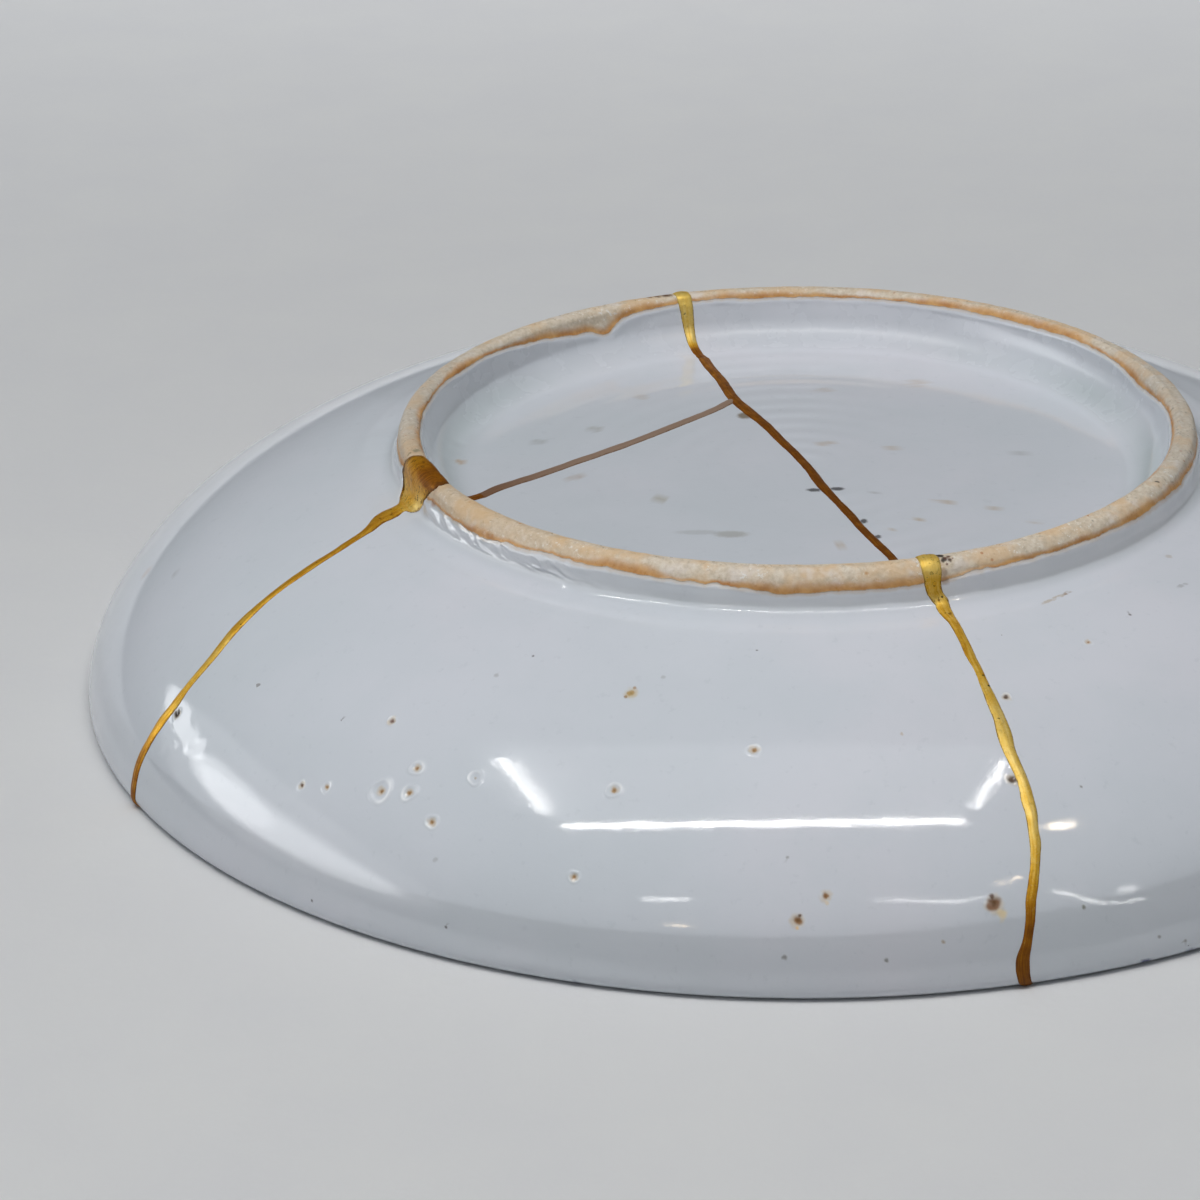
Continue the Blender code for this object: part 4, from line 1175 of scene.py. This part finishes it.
    # two long scratches on the shoulder to the right of the crossing
    for x, y, a, b, tint, k in [(25.1, -38.0, 2.3, 0.30, srgb(178, 160, 134), 0.60), (26.35, -36.75, 0.65, 0.26, srgb(146, 122, 100), 0.70), (37.9, -32.7, 0.9, 0.26, srgb(150, 150, 152), 0.45)]:
        off = m.vmath("SUBTRACT", warped, (x * 0.001, y * 0.001, on_wall(x, y) * 0.001))
        along = m.math("MULTIPLY", m.vmath("DOT_PRODUCT", off, (0.72, 0.69, 0.0)), 1000 / a)
        aside = m.math("MULTIPLY", m.vmath("DOT_PRODUCT", off, (-0.69, 0.72, 0.0)), 1000 / b)
        far = m.math("ADD", m.math("MULTIPLY", along, along), m.math("MULTIPLY", aside, aside))
        far = m.math("ADD", far, m.math("MULTIPLY", m.math("ABSOLUTE", m.vmath("DOT_PRODUCT", off, (0.0, 0.0, 1.0))), 250.0))
        colour = m.mix(m.math("MULTIPLY", m.step(far, 0.25, 1.25, k, 0.0), m.step(m.noise(1200, 2, 0.6), 0.38, 0.56, 0.15, 1.0)), colour, tint)
    # cobalt: a few strokes that come over the rim from the well, and a plain band inside it
    sep = m.t.nodes.new("ShaderNodeSeparateXYZ")
    m.put(sep.inputs[0], m.coord)
    radius = m.math("SQRT", m.math("ADD", m.math("MULTIPLY", sep.outputs[0], sep.outputs[0]), m.math("MULTIPLY", sep.outputs[1], sep.outputs[1])))
    wash = m.step(m.noise(420, 3, 0.6), 0.30, 0.62, 0.45, 1.0)
    band = m.math("MULTIPLY", m.step(radius, 0.0700, 0.0703), m.step(radius, 0.0712, 0.0715, 1.0, 0.0))
    line = m.math("MULTIPLY", m.step(radius, 0.0682, 0.0684), m.step(radius, 0.0687, 0.0689, 1.0, 0.0))
    inner1 = m.math("MULTIPLY", m.step(radius, 0.0362, 0.0365), m.step(radius, 0.0372, 0.0375, 1.0, 0.0))
    inner2 = m.math("MULTIPLY", m.step(radius, 0.0351, 0.0353), m.step(radius, 0.0355, 0.0357, 1.0, 0.0))
    bands = m.math("MAXIMUM", m.math("MAXIMUM", band, line), m.math("MAXIMUM", inner1, inner2))
    bands = m.math("MULTIPLY", m.math("MULTIPLY", bands, wash), m.math("MULTIPLY", well, 0.85))
    colour = m.mix(bands, colour, srgb(46, 62, 132))
    m.put(bsdf.inputs["Base Color"], colour)
    # gloss: glaze is glassy, clay dull with a few vitreous grains
    glass = m.step(m.noise(300, 3, 0.6), 0.35, 0.75, 0.050, 0.092)
    dull = m.step(m.noise(1900, 2, 0.5), 0.50, 0.70, 0.62, 0.22)
    rough = m.math("ADD", m.math("MULTIPLY", glass, m.math("SUBTRACT", 1.0, is_clay)), m.math("MULTIPLY", dull, is_clay))
    hollow = m.math("MULTIPLY", m.step(radius, 0.0340, 0.0360), m.step(radius, 0.0392, 0.0398, 1.0, 0.0))
    hollow = m.math("MULTIPLY", hollow, m.step(sep.outputs[1], 0.0, 0.012, 0.0, 0.21))
    rough = m.math("ADD", rough, hollow)
    m.put(bsdf.inputs["Roughness"], rough)
    bsdf.inputs["IOR"].default_value = 1.52
    # fine relief
    peel = m.noise(620, 2, 0.5)
    tiny = m.noise(3300, 2, 0.6, vector=m.vmath("MULTIPLY", m.coord, (0.55, 0.55, 1.0)))
    grains = m.math("ADD", m.math("MULTIPLY", m.noise(1700, 4, 0.75), 1.0), m.math("MULTIPLY", m.voronoi(2600), 0.5))
    relief = m.math("ADD", m.math("MULTIPLY", m.math("ADD", m.math("MULTIPLY", peel, 0.45), m.math("MULTIPLY", tiny, 0.43)), m.math("SUBTRACT", 1.0, is_clay)),
                    m.math("MULTIPLY", grains, m.math("MULTIPLY", is_clay, 6.5)))
    m.put(bsdf.inputs["Normal"], m.bump(relief, 1.0, 0.0000115))
    return m.mat


def gold():
    m = Tree("gold_lacquer")
    bsdf = m.bsdf
    across, run, brown, width, place = (m.attr(k) for k in ("across", "run", "brown", "width", "place"))
    side = m.math("ABSOLUTE", across)
    vec = m.t.nodes.new("ShaderNodeCombineXYZ")
    m.put(vec.inputs[0], m.math("MULTIPLY", run, 0.30))
    m.put(vec.inputs[1], m.math("MULTIPLY", m.math("MULTIPLY", across, width), 2.6))
    streak = m.noise(1.0, 4, 0.65, vector=vec.outputs[0])
    powder = m.noise(5200, 3, 0.7)
    cloud = m.noise(700, 3, 0.6)
    # from pale powder, through amber where it is thin, to the bare brown lacquer; the same ramp paints shade where the
    # seam's darkness profile is high
    dark = m.math("ADD", brown, m.math("ADD", m.math("MULTIPLY", m.math("SUBTRACT", cloud, 0.5), 0.55), m.math("MULTIPLY", m.math("SUBTRACT", streak, 0.5), 0.95)))
    tone = m.ramp(m.math("DIVIDE", m.math("ADD", dark, 0.2), 1.3),
                  [(0.05, srgb(244, 214, 132)), (0.20, srgb(235, 197, 97)), (0.36, srgb(225, 173, 53)), (0.54, srgb(196, 138, 29)), (0.74, srgb(150, 92, 14)), (0.95, srgb(110, 63, 17))])
    worn_and_shaded = m.step(dark, 0.30, 0.95)
    bright = m.math("SUBTRACT", 1.0, worn_and_shaded)
    # pale flecks in the powder: painted glints
    tone = m.mix(m.math("MULTIPLY", bright, m.step(powder, 0.56, 0.72, 0.0, 0.40)), tone, srgb(252, 234, 168))
    tone = m.mix(m.math("MULTIPLY", bright, m.step(powder, 0.30, 0.44, 0.30, 0.0)), tone, srgb(176, 120, 36))
    pale = m.step(brown, 1.04, 1.32)
    tone = m.mix(m.math("MULTIPLY", pale, 0.7), tone, srgb(158, 140, 124))
    # a dark rim of lacquer along both edges, ragged
    ragged = m.math("ADD", side, m.math("MULTIPLY", m.math("SUBTRACT", m.noise(1500, 3, 0.65), 0.5), 0.42))
    rim = m.step(ragged, 0.76, 0.92)
    tone = m.mix(m.math("MULTIPLY", rim, 0.80), tone, srgb(98, 58, 20))
    # the powder is thin and speckled where the seam goes over the foot
    up = m.t.nodes.new("ShaderNodeSeparateXYZ")
    m.put(up.inputs[0], m.coord)
    speck = m.math("MULTIPLY", m.step(m.noise(1900, 3, 0.7), 0.36, 0.44, 1.0, 0.0), m.step(up.outputs[2], 0.0230, 0.0240, 0.16, 0.80))
    speck = m.math("MULTIPLY", speck, m.step(up.outputs[1], 0.0, 0.02, 1.0, 0.35))
    tone = m.mix(m.math("MULTIPLY", speck, m.math("SUBTRACT", 1.0, pale)), tone, srgb(112, 68, 14))
    # painted highlight: high on the foot, where the seam crosses it in front and behind, the gold is painted paler and
    # brighter
    crest_highlight = m.math("MULTIPLY", m.step(up.outputs[2], 0.0262, 0.0275), m.step(up.outputs[0], -0.024, -0.018))
    tone = m.mix(m.math("MULTIPLY", m.math("MULTIPLY", crest_highlight, bright), 0.40), tone, srgb(252, 216, 112))
    # a few bare dots
    dots = m.math("LESS_THAN", m.voronoi(760), 0.13)
    chosen = m.math("MULTIPLY", dots, m.step(m.noise(420, 1, 0.5), 0.60, 0.64))
    tone = m.mix(m.math("MULTIPLY", chosen, 0.85), tone, srgb(44, 28, 14))
    for x, y, z, size in [(12.28, -40.24, 25.9, 0.20), (13.30, -40.15, 25.0, 0.16), (13.1, -40.2, 25.3, 0.10), (12.35, -40.2, 26.3, 0.12), (18.15, -52.5, 20.9, 0.16)]:
        dist = m.vmath("DISTANCE", m.coord, (x * 0.001, y * 0.001, z * 0.001))
        tone = m.mix(m.step(dist, size * 0.0007, size * 0.0012, 0.9, 0.0), tone, srgb(26, 16, 10))
    m.put(bsdf.inputs["Base Color"], tone)
    bare = m.math("MAXIMUM", m.math("MULTIPLY", worn_and_shaded, 0.50), m.math("MAXIMUM", m.math("MULTIPLY", rim, 0.8), m.math("MULTIPLY", pale, 0.9)))
    m.put(bsdf.inputs["Metallic"], m.math("MULTIPLY", m.math("SUBTRACT", 1.0, bare), 0.50))
    m.put(bsdf.inputs["Roughness"], m.math("ADD", m.step(m.math("ADD", powder, m.math("MULTIPLY", cloud, 0.5)), 0.5, 1.05, 0.34, 0.50), m.math("MULTIPLY", worn_and_shaded, 0.12)))
    bsdf.inputs["IOR"].default_value = 1.5
    bsdf.inputs["Specular IOR Level"].default_value = 0.16
    height = m.math("ADD", m.math("MULTIPLY", powder, 0.35), m.math("MULTIPLY", streak, 1.0))
    m.put(bsdf.inputs["Normal"], m.bump(height, 1.0, 0.000022))
    return m.mat


def floor_material():
    m = Tree("floor_paper")
    grain = m.noise(60, 4, 0.6)
    tint = m.ramp(grain, [(0.35, srgb(223, 223, 224)), (0.65, srgb(225, 225, 225))])
    m.put(m.bsdf.inputs["Base Color"], tint)
    m.put(m.bsdf.inputs["Roughness"], m.step(grain, 0.3, 0.7, 0.85, 0.95))
    m.bsdf.inputs["Specular IOR Level"].default_value = 0.25
    m.put(m.bsdf.inputs["Normal"], m.bump(m.noise(900, 3, 0.6), 0.25, 0.0002))
    return m.mat


# ------------------------------------------------------------------ the pieces
porcelain_mat = porcelain()
gold_mat = gold()

def side_line(line, shift):
    return offset(line, shift)


# the long crack runs from the front of the disc to its back; +offset is to its left (-x side)
right = make_sherd("right_sherd_porcelain", CRACK_FRONT, CRACK_BACK, 0.0, 0.0,
                   lambda d: np.interp(d, [-72, -30, 10, 60, 108], [0.33, 0.40, 0.52, 0.62, 0.60]),
                   side_line(A_LINE, -CLEAR), None, 1.05)
a_to_meet = A_LINE[:MEET_I + 1]
a_from_meet = A_LINE[MEET_I:][::-1]
b_in = B_LINE[::-1]
front_left = make_sherd("front_left_sherd_porcelain", CRACK_LEFT, CRACK_FRONT, 0.0, 0.0,
                        lambda d: np.interp(d, [-152, -130, -71], [0.36, 0.34, 0.33]),
                        side_line(b_in, CLEAR), side_line(a_to_meet, CLEAR), 1.0)
back_left = make_sherd("back_left_sherd_porcelain", CRACK_BACK, CRACK_LEFT, 0.0, 360.0,
                       lambda d: np.interp(d, [108, 150, 208], [0.60, 0.52, 0.42]),
                       side_line(a_from_meet, CLEAR), side_line(b_in, -CLEAR), 1.05)
seam = seam_object("gold_seam_lacquer", [(seam_a, True, 50), (seam_b, False, 90)])

for ob, node, mat, slot in ((right, "right_sherd", porcelain_mat, "porcelain_glaze"),
                            (front_left, "front_left_sherd", porcelain_mat, "porcelain_glaze"),
                            (back_left, "back_left_sherd", porcelain_mat, "porcelain_glaze"),
                            (seam, "gold_seam", gold_mat, "gold_lacquer")):
    ob.data.materials.append(mat)
    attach(ob, "root")
    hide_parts(node)
    print(ob.name, len(ob.data.vertices), "verts", sum(len(p.vertices) - 2 for p in ob.data.polygons), "tris")

# ------------------------------------------------------------------ floor, light and camera
bm = bmesh.new()
bmesh.ops.create_grid(bm, x_segments=2, y_segments=2, size=2.5)
floor_mesh = bpy.data.meshes.new("floor")
bm.to_mesh(floor_mesh)
bm.free()
floor = bpy.data.objects.new("floor", floor_mesh)
floor.data.materials.append(floor_material())
bpy.context.scene.collection.objects.link(floor)

world = bpy.data.worlds.new("studio")
world.use_nodes = True
nodes, links = world.node_tree.nodes, world.node_tree.links
sky = nodes["Background"]
sky.inputs[0].default_value = (0.90, 0.955, 1.0, 1)


def lobe(towards, power, strength):
    """A soft glow of the room from one direction."""
    place = nodes.new("ShaderNodeTexCoord")
    dot = nodes.new("ShaderNodeVectorMath")
    dot.operation = "DOT_PRODUCT"
    v = np.array(towards, float)
    dot.inputs[1].default_value = v / np.linalg.norm(v)
    links.new(place.outputs["Generated"], dot.inputs[0])
    last = dot.outputs["Value"]
    for op, k in (("MAXIMUM", 0.0), ("POWER", power), ("MULTIPLY", strength)):
        n = nodes.new("ShaderNodeMath")
        n.operation = op
        n.inputs[1].default_value = k
        links.new(last, n.inputs[0])
        last = n.outputs[0]
    return last


total = nodes.new("ShaderNodeMath")
links.new(lobe((0, 0, 1), 3.0, 0.13), total.inputs[0])
links.new(lobe((-0.75, -0.1, 0.65), 6.0, 0.305), total.inputs[1])
more = nodes.new("ShaderNodeMath")
links.new(lobe((0, -0.7, 0.7), 5.0, 0.22), more.inputs[0])
links.new(lobe((0.75, -0.1, 0.65), 6.0, 0.22), more.inputs[1])
both = nodes.new("ShaderNodeMath")
links.new(total.outputs[0], both.inputs[0])
links.new(more.outputs[0], both.inputs[1])
links.new(both.outputs[0], sky.inputs[1])
bpy.context.scene.world = world


def area(name, place, target, size, power, colour=(1, 1, 1), shape="RECTANGLE", turn_z=0.0, gloss=True, diffuse=True, spread=180):
    light = bpy.data.lights.new(name, "AREA")
    light.shape = shape
    light.size, light.size_y = size
    light.energy = power
    light.color = colour
    light.spread = math.radians(spread)
    ob = bpy.data.objects.new(name, light)
    place, target = np.array(place, float), np.array(target, float)
    z = place - target
    z /= np.linalg.norm(z)
    x = np.cross((0, 1, 0) if abs(z[2]) > 0.9 else (0, 0, 1), z)
    x /= np.linalg.norm(x)
    y = np.cross(z, x)
    m = Matrix([[x[0], y[0], z[0], place[0]], [x[1], y[1], z[1], place[1]], [x[2], y[2], z[2], place[2]], [0, 0, 0, 1]])
    ob.matrix_world = m @ Matrix.Rotation(turn_z, 4, "Z")
    ob.visible_glossy, ob.visible_diffuse = gloss, diffuse
    bpy.context.scene.collection.objects.link(ob)
    return ob


# the lamp over the table: a bright frame of tubes with a faint panel inside it, and the broad light that it throws
WARM, COOL = (1.0, 0.985, 0.96), (0.965, 0.98, 1.0)
area("tube_front", (-0.053, -0.224, 0.60), (-0.053, -0.224, 0.0), (0.515, 0.0075), 0.62, WARM, turn_z=math.radians(3.0))
area("tube_front_core", (-0.053, -0.224, 0.5995), (-0.053, -0.224, 0.0), (0.512, 0.003), 0.20, WARM, turn_z=math.radians(3.0), diffuse=False)
area("tube_front_spread", (-0.053, -0.224, 0.60), (-0.053, -0.224, 0.0), (0.515, 0.0105), 0.42, WARM, turn_z=math.radians(3.0), gloss=False)
area("tube_left", (-0.323, -0.092, 0.60), (-0.323, -0.092, 0.0), (0.008, 0.195), 0.11, WARM)
area("tube_left_2", (-0.3115, -0.088, 0.60), (-0.3115, -0.088, 0.0), (0.006, 0.18), 0.050, WARM)
area("tube_left_3", (-0.3015, -0.078, 0.60), (-0.3015, -0.078, 0.0), (0.004, 0.14), 0.018, WARM)
area("tube_left_glow_1", (-0.312, -0.080, 0.604), (-0.312, -0.080, 0.0), (0.06, 0.20), 0.019, COOL, shape="ELLIPSE")
area("tube_left_glow_2", (-0.312, -0.075, 0.606), (-0.312, -0.075, 0.0), (0.10, 0.25), 0.028, COOL, shape="ELLIPSE")
area("tube_left_glow_3", (-0.312, -0.070, 0.608), (-0.312, -0.070, 0.0), (0.15, 0.31), 0.040, COOL, shape="ELLIPSE")
area("tube_right", (0.209, -0.085, 0.60), (0.209, -0.085, 0.0), (0.006, 0.155), 0.10, WARM)
area("panel", (-0.055, -0.09, 0.62), (-0.055, -0.09, 0.0), (0.53, 0.26), 0.30, COOL)
area("lamp_spread", (-0.055, -0.09, 0.62), (-0.055, -0.09, 0.0), (0.53, 0.26), 1.43, COOL, gloss=False)
# soft window light, low on the left
area("left_soft", (-0.50, -0.090, 0.137), (0.0, -0.06, 0.03), (0.46, 0.126), 0.235, COOL, shape="ELLIPSE", diffuse=False)
area("left_soft_core", (-0.501, -0.096, 0.135), (0.0, -0.06, 0.03), (0.41, 0.094), 0.175, COOL, shape="ELLIPSE", diffuse=False)
area("left_soft_head", (-0.50, 0.030, 0.139), (0.0, -0.03, 0.03), (0.19, 0.105), 0.075, COOL, shape="ELLIPSE", diffuse=False)
area("left_soft_end", (-0.50, 0.195, 0.150), (0.0, 0.0, 0.03), (0.16, 0.066), 0.085, COOL, shape="ELLIPSE", diffuse=False)
area("left_glow", (-0.505, -0.060, 0.145), (0.0, -0.03, 0.03), (0.66, 0.24), 0.26, COOL, shape="ELLIPSE", diffuse=False)
area("left_spread", (-0.50, -0.045, 0.20), (0.0, -0.01, 0.03), (0.50, 0.20), 0.125, (0.86, 0.93, 1.0), gloss=False)
# small things far off in the room, that only glint in the glaze
AMBER = (1.0, 0.78, 0.52)
area("glint_lamp", (0.358, -0.224, 0.60), (0.358, -0.224, 0.0), (0.046, 0.028), 0.085, AMBER, shape="ELLIPSE", diffuse=False)
area("glint_lamp_core", (0.360, -0.224, 0.5995), (0.360, -0.224, 0.0), (0.024, 0.014), 0.030, WARM, shape="ELLIPSE", diffuse=False)
area("glint_arc", (0.395, -0.515, 0.60), (0.02, -0.07, 0.0), (0.052, 0.007), 0.026, AMBER, turn_z=math.radians(14), diffuse=False)
area("glint_dash", (-0.262, -0.667, 0.60), (-0.262, -0.667, 0.0), (0.120, 0.017), 0.095, WARM, shape="ELLIPSE", turn_z=math.radians(11), diffuse=False)
area("glint_low", (-0.228, -0.730, 0.407), (-0.0105, -0.0735, 0.0066), (0.052, 0.012), 0.030, AMBER, shape="ELLIPSE", diffuse=False)
area("glint_line", (0.262, -0.664, 0.60), (0.262, -0.664, 0.0), (0.20, 0.006), 0.105, WARM, turn_z=math.radians(-14), diffuse=False)
area("glint_hook", (0.361, -0.661, 0.60), (0.361, -0.661, 0.0), (0.070, 0.008), 0.036, WARM, turn_z=math.radians(47), diffuse=False)
area("glint_wave_1", (0.516, -0.536, 0.424), (0.026, -0.069, 0.0075), (0.185, 0.0045), 0.070, WARM, turn_z=math.radians(-73.6), diffuse=False)
area("glint_wave_2", (0.604, -0.520, 0.328), (0.030, -0.068, 0.0064), (0.103, 0.0045), 0.038, WARM, turn_z=math.radians(-27), diffuse=False)
area("glint_patch", (0.622, -0.492, 0.412), (0.030, -0.067, 0.0075), (0.044, 0.060), 0.036, WARM, shape="ELLIPSE", diffuse=False)
# broad light from behind, so that the back and the floor are not dark
area("fill_back", (0.3, 1.2, 1.6), (0.0, 0.0, 0.0), (1.2, 0.8), 0.44, (0.88, 0.94, 1.0))
area("floor_back", (0.0, 0.46, 0.50), (0.0, 0.46, 0.0), (0.7, 0.15), 0.46, COOL, gloss=False, spread=76)

C = (0.0, -0.390162, 0.177612)
FWD = np.array([-0.04933389, 0.91483022, -0.40081396])
RT = np.array([0.99878139, 0.04574127, -0.01853298])
UP = np.array([-0.00137921, 0.40123983, 0.915972])
cam_data = bpy.data.cameras.new("camera")
cam_data.lens = 118.545
cam_data.sensor_width = 36
cam_data.clip_start = 0.01
cam_data.dof.use_dof = False
cam = bpy.data.objects.new("camera", cam_data)
cam.matrix_world = Matrix([[RT[0], UP[0], -FWD[0], C[0]], [RT[1], UP[1], -FWD[1], C[1]], [RT[2], UP[2], -FWD[2], C[2]], [0, 0, 0, 1]])
bpy.context.scene.collection.objects.link(cam)
bpy.context.scene.camera = cam
bpy.context.scene.view_settings.view_transform = "Standard"
bpy.context.scene.view_settings.look = "None"
